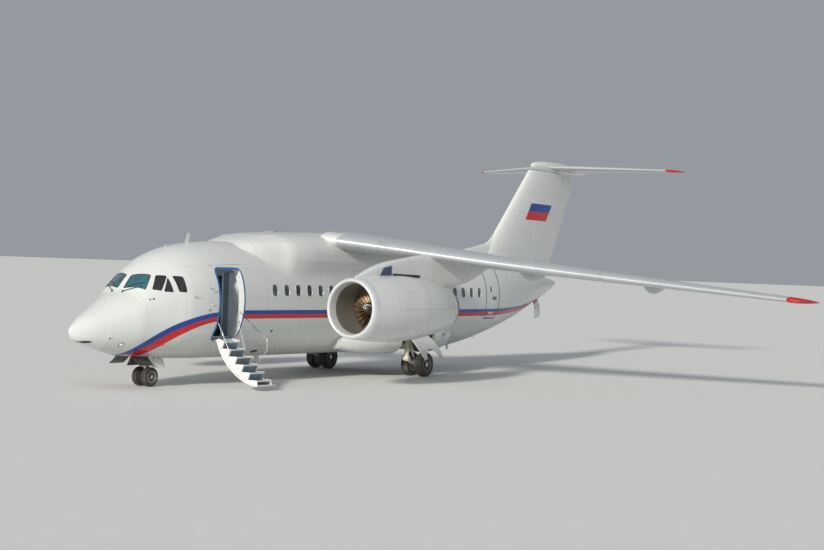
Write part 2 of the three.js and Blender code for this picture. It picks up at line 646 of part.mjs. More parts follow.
function buildEngine(side, name) {
  const [y, z] = [side * ENGINE_Y, ENGINE_Z];
  const lip = closedLoop(LIP.map(([x, r]) => [x === LIP_BACK ? x - GAP : x, r]));
  add(`intake_lip_${name}`, toGeometry(toSolid(turnedX(lip, y, z))), POLISHED);
  const cowl = toSolid(turnedX(closedLoop([...COWL_OUTSIDE, ...COWL_INSIDE]), y, z));
  add(`engine_cowl_${name}`, toGeometry(cowl), WHITE);
  add(`engine_core_${name}`, toGeometry(toSolid(turnedX(CORE, y, z))), BRONZE);
  add(`fan_${name}`, toGeometry(fanBody(side)), BRONZE);
  const wingCut = wingPanel(side, SLAT_END, 1, WING_START, 6000, CUT);
  const pylon = pylonBody(side, 0).subtract(nacelleEnvelope(side, CUT)).subtract(wingCut);
  add(`pylon_${name}`, toGeometry(pylon), WHITE);
}

// Main gear fairings
function buildSponson(side, name) {
  const rings = SPONSON.map(([x, outer, top, bottom]) => {
    const middleZ = (top + bottom) / 2;
    const half = outer - SPONSON_INNER;
    const [up, down] = [top - middleZ, middleZ - bottom];
    return ovalRing(x, side * SPONSON_INNER, middleZ, half, up, down, SPONSON_EXPONENT);
  });
  const body = loft(rings, [1, 2]).subtract(wholeSkin).subtract(mainBay(side)).subtract(mainBay(-side));
  const half = toSolid(box(9000, 17000, ...(side > 0 ? [0, 3000] : [-3000, 0]), 0, 3000));
  add(`gear_fairing_${name}`, toGeometry(body.intersect(half)), WHITE);
}

// Landing gear

// A bore round an axle that its flat sides clear at every angle of the turning axle
function axleBore({ x, radius, axle }, y0, y1) {
  const bore = (axle + AXLE_PLAY) / Math.cos(Math.PI / ROUND_SIDES);
  return toSolid(bar([x, y0, radius], [x, y1, radius], bore, ROUND_SIDES));
}

function tyre(wheel, y) {
  const { radius, width, rim, x } = wheel;
  const w = width / 2;
  const bead = rim + GAP;
  const profile = [[-w + 12, bead], [-w, radius - 75], [-w + 30, radius - 22], [-w + 75, radius],
    [w - 75, radius], [w - 30, radius - 22], [w, radius - 75], [w - 12, bead]];
  return turnedY(closedLoop(profile.map(([along, r]) => [along + y, r])), x, radius);
}

function wheelPair(wheel, y) {
  const { radius, width, rim, x, half, axle } = wheel;
  const w = width / 2 - 12;
  const disc = (centre) => [[centre - w, rim], [centre + w, rim], [centre + w, axle], [centre - w, axle]];
  const [left, right] = [disc(y - half), disc(y + half)];
  const dish = rim * 0.72;
  const [near, far] = [left[0][0], right[1][0]];
  const profile = [[near + 60, 0], [near + 60, dish], [near, dish + 20], left[0], left[1], left[2],
    right[3], right[0], right[1], [far, dish + 20], [far - 60, dish], [far - 60, 0]];
  return turnedY(profile, x, radius);
}

function buildNoseGear() {
  const { x, radius, half } = NOSE_WHEEL;
  const collar = 800;
  const roof = NOSE_BAY.roof - GAP;
  const leg = joined(
    toSolid(bar([x, 0, collar + GAP], [x, 0, roof], 78, 14)),
    toSolid(bar([x, 0, 1000], [NOSE_BAY.front + 260, 0, roof - 50], 38)),
    toSolid(box(NOSE_BAY.front + 180, NOSE_BAY.front + 340, -120, 120, roof - 70, roof)),
    toSolid(bar([x, -250, 1250], [x, 250, 1250], 40)),
  );
  add("nose_leg", toGeometry(leg), GREY);
  const fork = joined(
    toSolid(bar([x, 0, radius + 30], [x, 0, collar], 45, 12)),
    toSolid(bar([x, -70, radius], [x, 70, radius], 72, 16)),
    toSolid(bar([x, 0, 520], [x + 170, 0, 610], 26, 8)),
    toSolid(bar([x + 170, 0, 610], [x, 0, 730], 26, 8)),
    toSolid(bar([x, 0, 700], [x, 0, collar], 70, 12)),
  ).subtract(axleBore(NOSE_WHEEL, -200, 200));
  add("nose_fork", toGeometry(fork), GREY);
  add("nose_wheels", toGeometry(toSolid(wheelPair(NOSE_WHEEL, 0))), GREY);
  add("nose_tyre_port", toGeometry(toSolid(tyre(NOSE_WHEEL, -half))), RUBBER);
  add("nose_tyre_starboard", toGeometry(toSolid(tyre(NOSE_WHEEL, half))), RUBBER);
  for (const [side, name] of SIDES) add(`nose_gear_door_${name}`, toGeometry(noseDoor(side)), WHITE);
}

// Nose gear doors: a forward and an aft panel on one hinge rail along the bay's edge
const NOSE_DOOR = { hingeY: 345, hingeZ: 905, rail: 12, drop: 330, plate: 18 };
const NOSE_DOOR_PANELS = [[2100, 2640, 50], [2680, 3210, 28]];

function noseDoor(side) {
  const { hingeY, hingeZ, rail, drop, plate } = NOSE_DOOR;
  const [head, tail] = [2090, 3220].map((x) => [x, side * hingeY, bellyEdge(x)]);
  let door = toSolid(bar(head, tail, rail, 8));
  for (const [front, back, tilt] of NOSE_DOOR_PANELS) {
    const angle = THREE.MathUtils.degToRad(tilt) * side;
    const panel = box(front, back, -plate / 2, plate / 2, -drop, 0).rotateX(angle);
    door = door.add(toSolid(panel.translate(0, side * hingeY, (bellyEdge(front) + bellyEdge(back)) / 2)));
  }
  return door.subtract(wholeSkin);
}

// Height of the hinge rail: just under the skin at the bay's edge
function bellyEdge(x) {
  const { hingeY, rail } = NOSE_DOOR;
  const reach = 1 - (hingeY / halfWidth(x)) ** FUSELAGE_EXPONENT;
  return widest(x) - (widest(x) - belly(x)) * reach ** (1 / FUSELAGE_EXPONENT) - rail - 3;
}

function buildMainGear(side, name) {
  const { x, radius, half, y } = MAIN_WHEEL;
  const at = (px, py, pz) => [px, side * py, pz];
  const roof = MAIN_BAY.roof - GAP;
  const leg = joined(
    toSolid(bar(at(MAIN_LEG_X, y, 560), at(MAIN_LEG_X, y, roof), 82, 12)),
    toSolid(bar(at(MAIN_LEG_X, y - 90, 590), at(MAIN_LEG_X, y + 90, 590), 95, 12)),
    toSolid(bar(at(MAIN_LEG_X, y, 580), at(x, y, radius), 66, 10, 58)),
    toSolid(bar(at(x, y - 105, radius), at(x, y + 105, radius), 92, 12)),
    toSolid(bar(at(x - 150, y, 480), at(MAIN_LEG_X + 130, y, 1180), 55, 10)),
    toSolid(bar(at(MAIN_LEG_X + 150, y, 1180), at(MAIN_LEG_X, y, 1290), 60, 10)),
    toSolid(bar(at(MAIN_LEG_X, y, 980), at(MAIN_LEG_X, MAIN_BAY.inner + 160, roof - 60), 42, 8)),
    toSolid(bar(at(MAIN_LEG_X, y - 330, roof - 70), at(MAIN_LEG_X, y + 130, roof - 70), 60, 10)),
  ).subtract(axleBore(MAIN_WHEEL, side * y - 300, side * y + 300));
  add(`main_leg_${name}`, toGeometry(leg), CREAM);
  add(`main_wheels_${name}`, toGeometry(toSolid(wheelPair(MAIN_WHEEL, side * y))), GREY);
  for (const [sign, place] of [[-1, "inner"], [1, "outer"]]) {
    const middle = side * (y + sign * half);
    add(`main_tyre_${name}_${place}`, toGeometry(toSolid(tyre(MAIN_WHEEL, middle))), RUBBER);
  }
  add(`main_gear_door_${name}`, toGeometry(toSolid(mainDoor(side))), WHITE);
}

function mainDoor(side) {
  const tilt = THREE.MathUtils.degToRad(MAIN_DOOR_TILT);
  const hinge = MAIN_DOOR[0][1];
  const outline = MAIN_DOOR.map(([x, z]) => [x, (z - hinge) / Math.cos(tilt)]);
  const plate = alongY(outline, -MAIN_DOOR_PLATE / 2, MAIN_DOOR_PLATE / 2).rotateX(side * tilt);
  return plate.translate(0, side * MAIN_DOOR_TOP_Y, hinge - (MAIN_DOOR_PLATE / 2) * Math.sin(tilt));
}

// Tail
function finSection(z) {
  const lead = FIN.leadAtHead - (FIN.headZ - z) * FIN.leadSlope;
  const back = FIN.backAtHead - (FIN.headZ - z) * FIN.backSlope;
  return { lead, chord: back - lead, thickness: 0.1 };
}

function finPanel(from, to, start, end, grow = 0) {
  const rings = [start - grow, end + grow].map((z) => (
    sectionOutline(finSection(z), from, to, grow).map(([x, y]) => [x, y, z])));
  return loft(rings, [0, 1]);
}

function tailSection(y) {
  const t = y / TAILPLANE.half;
  return {
    lead: THREE.MathUtils.lerp(TAILPLANE.rootLead, TAILPLANE.tipLead, t),
    chord: THREE.MathUtils.lerp(TAILPLANE.rootChord, TAILPLANE.tipChord, t),
    thickness: 0.095,
    off: TAILPLANE.z,
  };
}

function tailPanel(side, from, to, start, end, grow = 0) {
  const rings = [start - grow, end + grow].map((y) => (
    sectionOutline(tailSection(y), from, to, grow).map(([x, z]) => [x, side * y, z])));
  return loft(rings, [0, 2]);
}

function buildTail() {
  const rudderCut = finPanel(RUDDER.start, 1, RUDDER.footZ - GAP, RUDDER.headZ + GAP, 0)
    .add(finPanel(RUDDER.start - 0.0002, 1, RUDDER.footZ, RUDDER.headZ, CUT));
  const bullet = toSolid(turnedX(BULLET, 0, TAILPLANE.z, BULLET_SIDES));
  const plane = [1, -1].map((side) => tailPanel(side, 0, 1, 0, TAILPLANE.half)).reduce((a, b) => a.add(b));
  const planeCut = [1, -1].map((side) => tailPanel(side, 0, 1, 0, 1200, CUT)).reduce((a, b) => a.add(b));
  const bulletGrown = BULLET.map(([x, r]) => [x, r > 0 ? r + CUT : 0]);
  const bulletCut = toSolid(turnedX(bulletGrown, 0, TAILPLANE.z, BULLET_SIDES));
  const dorsal = dorsalFillet();
  const fin = finPanel(0, 1, FIN.footZ, FIN.headZ).add(dorsal).subtract(wholeSkin).subtract(rudderCut)
    .subtract(bulletCut).subtract(planeCut);
  add("fin", toGeometry(fin), WHITE);
  const rudder = finPanel(RUDDER.start, 1, RUDDER.footZ, RUDDER.headZ);
  add("rudder", toGeometry(rudder.subtract(bulletCut).subtract(planeCut)), WHITE);
  add("tail_bullet", toGeometry(bullet.subtract(planeCut)), WHITE);
  let fixed = plane;
  for (const [side, name] of SIDES) {
    const { start, inner, outer } = ELEVATOR;
    fixed = fixed.subtract(tailPanel(side, start, 1, inner, outer, CUT));
    add(`elevator_${name}`, toGeometry(tailPanel(side, start, 1, inner, outer)), WHITE);
  }
  add("tailplane", toGeometry(fixed), WHITE);
  for (const [side, name] of SIDES) add(`tail_door_${name}`, tailDoor(side), WHITE);
}

function dorsalFillet() {
  const rings = DORSAL.map(([x, top], i) => {
    const half = 60 + 24 * i;
    const left = [[x, -half, 4000], [x, -half, top - 180], [x, -half * 0.35, top]];
    return [...left, ...left.map(([, y, z]) => [x, -y, z]).reverse()];
  });
  return loft(rings, [1, 2]);
}

// The access bay under the tail. Its two doors hang open from barrels along the bay's lower edges.
function tailBay(side) {
  const { front, back, half, roof } = TAIL_DOOR;
  return toSolid(box(front, back, ...(side > 0 ? [0, half] : [-half, 0]), 1500, roof));
}

function tailHinge(side, fraction) {
  const { front, back, half } = TAIL_DOOR;
  const x = THREE.MathUtils.lerp(front, back, fraction);
  const reach = (1 - (half / halfWidth(x)) ** FUSELAGE_EXPONENT) ** (1 / FUSELAGE_EXPONENT);
  return new THREE.Vector3(x, side * (half + 4), widest(x) - (widest(x) - belly(x)) * reach - 4);
}

// A stretch of bar on the hinge line, its middle at a fraction of the line and shifted along it
function onHinge(side, fraction, shift, length, radius) {
  const along = tailHinge(side, 1).sub(tailHinge(side, 0)).normalize();
  const middle = tailHinge(side, 0).lerp(tailHinge(side, 1), fraction).addScaledVector(along, shift);
  const ends = [-length / 2, length / 2].map((step) => middle.clone().addScaledVector(along, step).toArray());
  return toSolid(bar(...ends, radius, 8));
}

function hingedTail(skin) {
  const { length, radius, swing } = TAIL_BARREL;
  let tail = skin;
  for (const [side] of SIDES) {
    tail = tail.subtract(tailBay(side));
    for (const fraction of TAIL_HINGES) {
      tail = tail.subtract(onHinge(side, fraction, 0, length + 2 * GAP, swing));
      for (const shift of [-1, 1]) {
        tail = tail.add(onHinge(side, fraction, shift * (length + GAP), length, radius));
      }
    }
  }
  return tail;
}

function tailDoor(side) {
  const { front, back, half, plate, edge, open } = TAIL_DOOR;
  const stations = [front, (front + back) / 2, back];
  const span = [edge / 2, half - edge].map((y) => side * y).sort((p, q) => p - q);
  const slab = toSolid(box(front + edge / 2, back - 2 * edge, ...span, 1500, 2900));
  const below = toSolid(box(front, back, -half, half, 1500, widest(back) - 150));
  const inner = fuselageSkin([front - 1, stations[1], back + 1], plate);
  let door = fuselageSkin(stations).subtract(inner).intersect(slab).intersect(below);
  for (const fraction of TAIL_HINGES) {
    const root = tailHinge(side, fraction);
    const onDoor = [root.x, side * (half - edge - 40), root.z - 4];
    door = joined(door, onHinge(side, fraction, 0, TAIL_BARREL.length, TAIL_BARREL.radius),
      toSolid(bar(root.toArray(), onDoor, 9, 8)));
  }
  const axis = tailHinge(side, 1).sub(tailHinge(side, 0)).normalize();
  const pivot = tailHinge(side, 0);
  const turn = new THREE.Matrix4().makeTranslation(pivot)
    .multiply(new THREE.Matrix4().makeRotationAxis(axis, side * THREE.MathUtils.degToRad(open)))
    .multiply(new THREE.Matrix4().makeTranslation(pivot.clone().negate()));
  return toGeometry(door).applyMatrix4(turn);
}

buildFuselage();
buildAirstair();
buildSaddle();
for (const [side, name] of SIDES) {
  buildWing(side, name);
  buildEngine(side, name);
  buildSponson(side, name);
  buildMainGear(side, name);
}
buildNoseGear();
buildTail();

export default aircraft;
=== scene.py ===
"""A regional jet as it parks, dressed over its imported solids: high wing, T-tail, airstair open.

Lengths are metres. In every shape x is the station aft of the nose tip, y is to starboard and z is up
from the ground. A mesh goes from stations to the frame's origin when it is published.
"""

import logging
import math
from collections.abc import Callable, Iterable, Sequence
from dataclasses import dataclass, field
from enum import Enum

import bpy
import numpy as np
from mathutils import Matrix, Vector


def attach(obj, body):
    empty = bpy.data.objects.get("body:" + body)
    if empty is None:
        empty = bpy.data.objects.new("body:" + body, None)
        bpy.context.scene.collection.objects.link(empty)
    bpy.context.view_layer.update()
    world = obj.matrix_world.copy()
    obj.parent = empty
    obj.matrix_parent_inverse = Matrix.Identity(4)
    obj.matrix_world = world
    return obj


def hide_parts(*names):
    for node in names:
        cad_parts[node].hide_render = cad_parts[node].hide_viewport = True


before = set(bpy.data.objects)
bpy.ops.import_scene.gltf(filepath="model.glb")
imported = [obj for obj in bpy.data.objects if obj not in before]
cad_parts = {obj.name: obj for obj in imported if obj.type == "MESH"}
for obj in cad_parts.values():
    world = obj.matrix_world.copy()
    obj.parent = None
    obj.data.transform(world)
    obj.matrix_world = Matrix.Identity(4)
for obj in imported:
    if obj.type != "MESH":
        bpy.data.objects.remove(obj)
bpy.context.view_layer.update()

Array = np.ndarray
Place = Callable[[Array, Array, float], Array]
Colour = tuple[float, float, float]
log = logging.getLogger("jet")

STATION_ZERO = 14.565
SIDES = ((-1, "port"), (1, "starboard"))
FULL_TURN = 2 * math.pi


# Curves and forms

class Curve:
    """A smooth line through a table that never overshoots its rows."""

    def __init__(self, xs: Sequence[float], ys: Sequence[float]) -> None:
        """Keep the table and work out its tangents: the harmonic mean of the slopes on both sides."""
        self.xs, self.ys = np.asarray(xs, float), np.asarray(ys, float)
        slopes = np.diff(self.ys) / np.diff(self.xs)
        before, after = np.append(slopes[:1], slopes), np.append(slopes, slopes[-1:])
        same = before * after > 0
        self.tangents = np.where(same, 2 * before * after / np.where(same, before + after, 1), 0)

    def __call__(self, x: Array | float) -> Array:
        """Cubic between two rows: y0 + (y1 - y0) t^2 (3 - 2t) + h (m0 t (1-t)^2 - m1 t^2 (1-t)).

        Args:
            x: Where the line is read.

        Returns:
            Its heights, the end rows' beyond the table's ends.
        """
        x = np.clip(np.asarray(x, float), self.xs[0], self.xs[-1])
        i = np.clip(np.searchsorted(self.xs, x) - 1, 0, len(self.xs) - 2)
        h = self.xs[i + 1] - self.xs[i]
        t = (x - self.xs[i]) / h
        rise = h * (self.tangents[i] * t * (1 - t) ** 2 - self.tangents[i + 1] * t * t * (1 - t))
        return self.ys[i] + (self.ys[i + 1] - self.ys[i]) * t * t * (3 - 2 * t) + rise


def power(value: Array, exponent: float) -> Array:
    """A signed power: the sign of the value times its size to the exponent."""
    return np.sign(value) * np.abs(value) ** exponent


def evenly(count: int) -> Array:
    """Angles of a closed ring of so many points."""
    return np.linspace(0, FULL_TURN, count, endpoint=False)


# Station, belly, crown, half width, height of the widest point
BODY_TABLE = (
    (0.0, 1.57, 1.6, 0.02, 1.585), (0.06, 1.469, 1.694, 0.08, 1.592), (0.2, 1.345, 1.818, 0.203, 1.612),
    (0.5, 1.237, 2.02, 0.412, 1.676), (0.95, 1.107, 2.266, 0.647, 1.785), (1.4, 0.987, 2.514, 0.869, 1.915),
    (1.76, 0.903, 2.711, 1.039, 2.03), (2.12, 0.873, 3.107, 1.158, 2.07), (2.65, 0.83, 3.525, 1.352, 2.215),
    (3.2, 0.795, 3.823, 1.542, 2.33),
    (3.85, 0.77, 4.03, 1.63, 2.4), (4.6, 0.755, 4.15, 1.668, 2.45),
    (5.45, 0.75, 4.215, 1.675, 2.48), (9.0, 0.74, 4.29, 1.675, 2.5), (16.8, 0.745, 4.36, 1.675, 2.52),
    (17.65, 0.79, 4.365, 1.668, 2.54), (18.5, 0.9, 4.365, 1.645, 2.58), (19.7, 1.13, 4.35, 1.57, 2.65),
    (21.1, 1.45, 4.32, 1.4, 2.76), (22.6, 1.85, 4.12, 1.15, 2.92), (24.0, 2.33, 3.8, 0.86, 3.06),
    (25.2, 2.7, 3.5, 0.54, 3.11), (26.39, 3.06, 3.32, 0.15, 3.19),
)


class BodyForm:
    """The fuselage's outside, an oval at each station.

    |y / half|^n + |(z - widest) / reach|^n = 1, where reach goes to the crown above the widest
    point and to the belly below it.
    """

    exponent = 2.1
    angle_scale = 1.4

    def __init__(self) -> None:
        """Draw the four lines of the table."""
        table = np.array(BODY_TABLE)
        self.belly, self.crown, self.half, self.widest = (
            Curve(table[:, 0], table[:, column]) for column in range(1, 5))

    def at(self, x: Array, angle: Array, grow: float = 0.0) -> Array:
        """Points at a station and ring angle: y and z go as the signed power 2/n of cosine and sine.

        Args:
            x: Stations.
            angle: Ring angles, from the starboard side up over the crown.
            grow: How far the oval is larger all round.

        Returns:
            The points, in one more axis.
        """
        x, angle = np.broadcast_arrays(x, angle)
        widest = self.widest(x)
        reach = np.where(np.sin(angle) > 0, self.crown(x) - widest, widest - self.belly(x)) + grow
        y = (self.half(x) + grow) * power(np.cos(angle), 2 / self.exponent)
        z = widest + reach * power(np.sin(angle), 2 / self.exponent)
        return np.stack([x, y, z], -1)

    def fill(self, points: Array) -> Array:
        """How far a point fills the oval: 0 on the skin, below 0 inside."""
        x, y, z = points[..., 0], points[..., 1], points[..., 2]
        widest = self.widest(x)
        reach = np.where(z > widest, self.crown(x) - widest, widest - self.belly(x))
        return np.abs(y / self.half(x)) ** self.exponent + np.abs((z - widest) / reach) ** self.exponent - 1

    def slope(self, points: Array) -> Array:
        """The fill's gradient by small steps along the three axes."""
        step = 1e-4
        return np.stack([self.fill(points + step * axis) - self.fill(points - step * axis)
                         for axis in np.eye(3)], -1) / (2 * step)

    def normal(self, points: Array) -> Array:
        """The outward direction: the fill's gradient at unit length."""
        slope = self.slope(points)
        return slope / np.maximum(np.linalg.norm(slope, axis=-1, keepdims=True), 1e-9)

    def side(self, x: Array, z: Array) -> Array:
        """The skin's distance from the centre line at a height."""
        widest = self.widest(x)
        reach = np.where(z > widest, self.crown(x) - widest, widest - self.belly(x))
        filled = np.clip(np.abs((z - widest) / reach), 0, 1) ** self.exponent
        return self.half(x) * (1 - filled) ** (1 / self.exponent)

    def on_side(self, side: int) -> Place:
        """A map from station and height to the skin of one side."""
        def place(x: Array, z: Array, lift: float) -> Array:
            """The skin's point, pushed out along its normal by the lift."""
            x, z = np.broadcast_arrays(x, z)
            points = np.stack([x, side * self.side(x, z), z], -1)
            return points + lift * self.normal(points)
        return place

    def on_ring(self, side: int) -> Place:
        """A map from station and scaled ring angle to the skin of one side."""
        def place(x: Array, q: Array, lift: float) -> Array:
            """The skin's point, pushed out along its normal by the lift."""
            points = self.at(x, q / self.angle_scale)
            points = points + lift * self.normal(points)
            points[..., 1] *= side
            return points
        return place

    def ring_place(self, x: float, y: float, z: float) -> tuple[float, float]:
        """The station and scaled ring angle of a point on the port or starboard skin."""
        widest = float(self.widest(x))
        reach = float(self.crown(x)) - widest if z > widest else widest - float(self.belly(x))
        up = power(np.array((z - widest) / reach), self.exponent / 2)
        out = (abs(y) / float(self.half(x))) ** (self.exponent / 2)
        return x, math.atan2(float(up), out) * self.angle_scale


BODY = BodyForm()


# Outlines in two numbers

def squircle(half_x: float, half_z: float, exponent: float, count: int = 32) -> Array:
    """A rounded box outline: the signed power 2/n of cosine and sine, times its half sizes."""
    angle = evenly(count)
    return np.stack([half_x * power(np.cos(angle), 2 / exponent),
                     half_z * power(np.sin(angle), 2 / exponent)], -1)


def rounded(corners: Sequence[Sequence[float]], radius: float | Sequence[float], step: float = 0.12) -> Array:
    """A polygon with rounded corners.

    Each corner c becomes the curve (1-t)^2 a + 2t(1-t) c + t^2 b between the points a and b that lie
    a radius before and after it, and the straight runs are split to a step.

    Args:
        corners: The corners in order.
        radius: How far each curve starts from its corner, one for all or one each.
        step: The longest stretch between two points.

    Returns:
        The outline's points.
    """
    points = np.asarray(corners, float)
    radii = np.broadcast_to(np.asarray(radius, float), len(points))
    t = np.linspace(0, 1, 7)[:, None]
    out = []
    for i, corner in enumerate(points):
        before, after = points[i - 1] - corner, points[(i + 1) % len(points)] - corner
        a = corner + before * min(radii[i] / np.linalg.norm(before), 0.49)
        b = corner + after * min(radii[i] / np.linalg.norm(after), 0.49)
        out.append((1 - t) ** 2 * a + 2 * t * (1 - t) * corner + t ** 2 * b if radii[i] > 0 else corner[None])
    loop = np.concatenate(out)
    return split(np.concatenate([loop, loop[:1]]), step)[:-1]


def split(path: Array, step: float) -> Array:
    """A path with its long stretches divided evenly so that none is longer than a step."""
    parts = np.maximum(np.ceil(np.linalg.norm(np.diff(path, axis=0), axis=1) / step).astype(int), 1)
    at = np.concatenate([np.arange(n) / n + i for i, n in enumerate(parts)] + [[float(len(parts))]])
    return np.stack([np.interp(at, np.arange(len(path)), path[:, k]) for k in range(path.shape[1])], -1)


# Meshes from whole arrays

@dataclass
class Shape:
    """Closed pieces of surface, gathered to become one mesh."""

    points: list[Array] = field(default_factory=list)
    faces: list[tuple[Array, int]] = field(default_factory=list)
    count: int = 0

    def add(self, points: Array, faces: Iterable[Array], slot: int = 0) -> "Shape":
        """Take in one closed piece and turn it outwards.

        Its volume is a sixth of the sum over its triangles of a . (b x c), and a negative one means
        that every face is turned round.

        Args:
            points: The piece's points.
            faces: Arrays of corner numbers, one array for each number of corners.
            slot: Which of the mesh's finishes it takes.

        Returns:
            This shape.
        """
        points = np.asarray(points, float).reshape(-1, 3)
        faces = [np.asarray(f, np.int64) for f in faces if len(f)]
        centre = points.mean(0)
        volume = 0.0
        for f in faces:
            corner = points[f] - centre
            for k in range(1, f.shape[1] - 1):
                cross = np.cross(corner[:, k], corner[:, k + 1])
                volume += float(np.einsum("ij,ij->", corner[:, 0], cross))
        for f in faces:
            self.faces.append(((f[:, ::-1] if volume < 0 else f) + self.count, slot))
        self.points.append(points)
        self.count += len(points)
        return self

    def grid(self, rows: Array, slot: int = 0, ring: bool = False) -> "Shape":
        """A closed surface through rings of points.

        Quads join neighbouring rings. An end ring that has shrunk to a point becomes a pole, and any
        other gets one flat face.

        Args:
            rows: Points as [row, place along the row, axis]; each row closes on itself.
            slot: Which finish it takes.
            ring: Whether the last row joins the first, as in a hoop.

        Returns:
            This shape.
        """
        rows = np.asarray(rows, float)
        count, sides = rows.shape[:2]
        number = np.arange(count * sides).reshape(count, sides)
        faces: list[Array] = []
        points = rows.reshape(-1, 3)
        if not ring:
            for end in (0, count - 1):
                if np.ptp(rows[end], axis=0).max() < 1e-6:
                    number[end] = number[end, 0]
                else:
                    faces.append(number[end][::-1 if end == 0 else 1][None])
        below, above = (number, np.roll(number, -1, 0)) if ring else (number[:-1], number[1:])
        quads = np.stack([below, np.roll(below, -1, 1), np.roll(above, -1, 1), above], -1).reshape(-1, 4)
        start, end = quads[:, 0] == quads[:, 1], quads[:, 2] == quads[:, 3]
        faces += [quads[~start & ~end], quads[start & ~end][:, [0, 2, 3]], quads[end & ~start][:, [0, 1, 2]]]
        used = np.unique(np.concatenate([f.ravel() for f in faces if len(f)]))
        renumber = np.full(len(points), -1)
        renumber[used] = np.arange(len(used))
        return self.add(points[used], [renumber[f] for f in faces if len(f)], slot)

    def pillow(self, place: Place, outline: Array, high: float, low: float, slot: int = 0,
               rings: int = 4) -> "Shape":
        """A patch of skin with a thickness: the outline shrunk towards its middle, ring by ring.

        Args:
            place: Map from the outline's two numbers and a lift to space.
            outline: The patch's outline.
            high: The lift of its outer face.
            low: The lift of its inner face.
            slot: Which finish it takes.
            rings: How many rings go from the middle to the rim.

        Returns:
            This shape.
        """
        middle = (outline.min(0) + outline.max(0)) / 2
        size = np.linspace(0, 1, rings + 1)[:, None, None]
        spread = middle + size * (outline - middle)
        top = place(spread[..., 0], spread[..., 1], high)
        bottom = place(spread[..., 0], spread[..., 1], low)
        return self.grid(np.concatenate([top, bottom[::-1]]), slot)

    def turned(self, profile: Sequence[Sequence[float]], centre: Sequence[float], axis: str = "x",
               sides: int = 48, slot: int = 0, hoop: bool = False, smooth: int = 0) -> "Shape":
        """A profile turned about an axis: each [along, radius] becomes a circle of that radius.

        Args:
            profile: Rows of [along, radius].
            centre: A point on the axis; its part along the axis is added to every row.
            axis: Which way the axis runs.
            sides: Points round a circle.
            slot: Which finish it takes.
            hoop: Whether the profile closes on itself.
            smooth: Rows that a smooth curve puts between two of the profile's, 0 for none.

        Returns:
            This shape.
        """
        rows = np.asarray(profile, float)
        if smooth:
            rows = smoothed(rows, smooth)
        angle = evenly(sides)
        along = np.broadcast_to(rows[:, :1], (len(rows), sides))
        round_a, round_b = rows[:, 1:] * np.cos(angle), rows[:, 1:] * np.sin(angle)
        order = {"x": (along, round_a, round_b), "y": (round_b, along, round_a), "z": (round_a, round_b, along)}
        return self.grid(np.stack(order[axis], -1) + np.asarray(centre, float), slot, hoop)

    def tube(self, path: Array, radius: float | Array, sides: int = 12, slot: int = 0,
             loop: bool = False) -> "Shape":
        """A round bar along a path: circles square to the path's direction at each of its points.

        Args:
            path: The points it follows.
            radius: Its radius, one for all or one at each point.
            sides: Points round it.
            slot: Which finish it takes.
            loop: Whether the path closes on itself.

        Returns:
            This shape.
        """
        path = np.asarray(path, float)
        ahead = np.roll(path, -1, 0) - np.roll(path, 1, 0) if loop else np.gradient(path, axis=0)
        ahead /= np.linalg.norm(ahead, axis=1, keepdims=True)
        spread = np.ptp(path, axis=0)
        upright = np.eye(3)[int(np.argmin(spread + 0.01 * np.array([0, 1, 2])))]
        across = np.cross(ahead, upright)
        across /= np.maximum(np.linalg.norm(across, axis=1, keepdims=True), 1e-9)
        other = np.cross(ahead, across)
        size = np.broadcast_to(np.asarray(radius, float), len(path))[:, None, None]
        angle = evenly(sides)[None, :, None]
        circle = np.cos(angle) * across[:, None] + np.sin(angle) * other[:, None]
        return self.grid(path[:, None] + size * circle, slot, loop)

    def plate(self, outline: Array, low: float, high: float, across: str = "y", slot: int = 0) -> "Shape":
        """An outline pushed along one axis, closed by two flat faces.

        Args:
            outline: Its two numbers run along the other two axes, in their order.
            low: Where it starts on the axis.
            high: Where it ends.
            across: The axis it is pushed along.
            slot: Which finish it takes.

        Returns:
            This shape.
        """
        outline = np.asarray(outline, float)
        rows = []
        for value in (low, high):
            line = np.full(len(outline), value)
            order = {"x": (line, outline[:, 0], outline[:, 1]), "y": (outline[:, 0], line, outline[:, 1]),
                     "z": (outline[:, 0], outline[:, 1], line)}
            rows.append(np.stack(order[across], -1))
        return self.grid(np.stack(rows), slot)

    def block(self, low: Sequence[float], high: Sequence[float], round_off: float = 0.0, slot: int = 0) -> "Shape":
        """A box between two corners, its upright edges rounded off."""
        (x0, y0, z0), (x1, y1, z1) = low, high
        outline = rounded([(x0, y0), (x1, y0), (x1, y1), (x0, y1)], round_off, 10)
        return self.plate(outline, z0, z1, "z", slot)

    def moved(self, matrix: Matrix) -> "Shape":
        """Turn and shift every point so far by a matrix."""
        m = np.array(matrix)
        self.points = [p @ m[:3, :3].T + m[:3, 3] for p in self.points]
        return self

    def mirrored(self, side: int) -> "Shape":
        """The same shape on the other side of the centre line where the side is port."""
        if side < 0:
            self.points = [p * (1, -1, 1) for p in self.points]
            self.faces = [(f[:, ::-1], slot) for f, slot in self.faces]
        return self

    def mesh(self, name: str) -> bpy.types.Mesh:
        """Write the gathered arrays into a mesh, still in stations."""
        mesh = bpy.data.meshes.new(name)
        corners = np.concatenate([f.ravel() for f, _ in self.faces])
        sizes = np.concatenate([np.full(len(f), f.shape[1]) for f, _ in self.faces])
        slots = np.concatenate([np.full(len(f), slot) for f, slot in self.faces])
        mesh.vertices.add(self.count)
        mesh.vertices.foreach_set("co", np.concatenate(self.points).astype(np.float32).ravel())
        mesh.loops.add(len(corners))
        mesh.loops.foreach_set("vertex_index", corners.astype(np.int32))
        mesh.polygons.add(len(sizes))
        mesh.polygons.foreach_set("loop_start", (np.cumsum(sizes) - sizes).astype(np.int32))
        mesh.polygons.foreach_set("material_index", slots.astype(np.int32))
        mesh.update(calc_edges=True)
        mesh.validate()
        return mesh


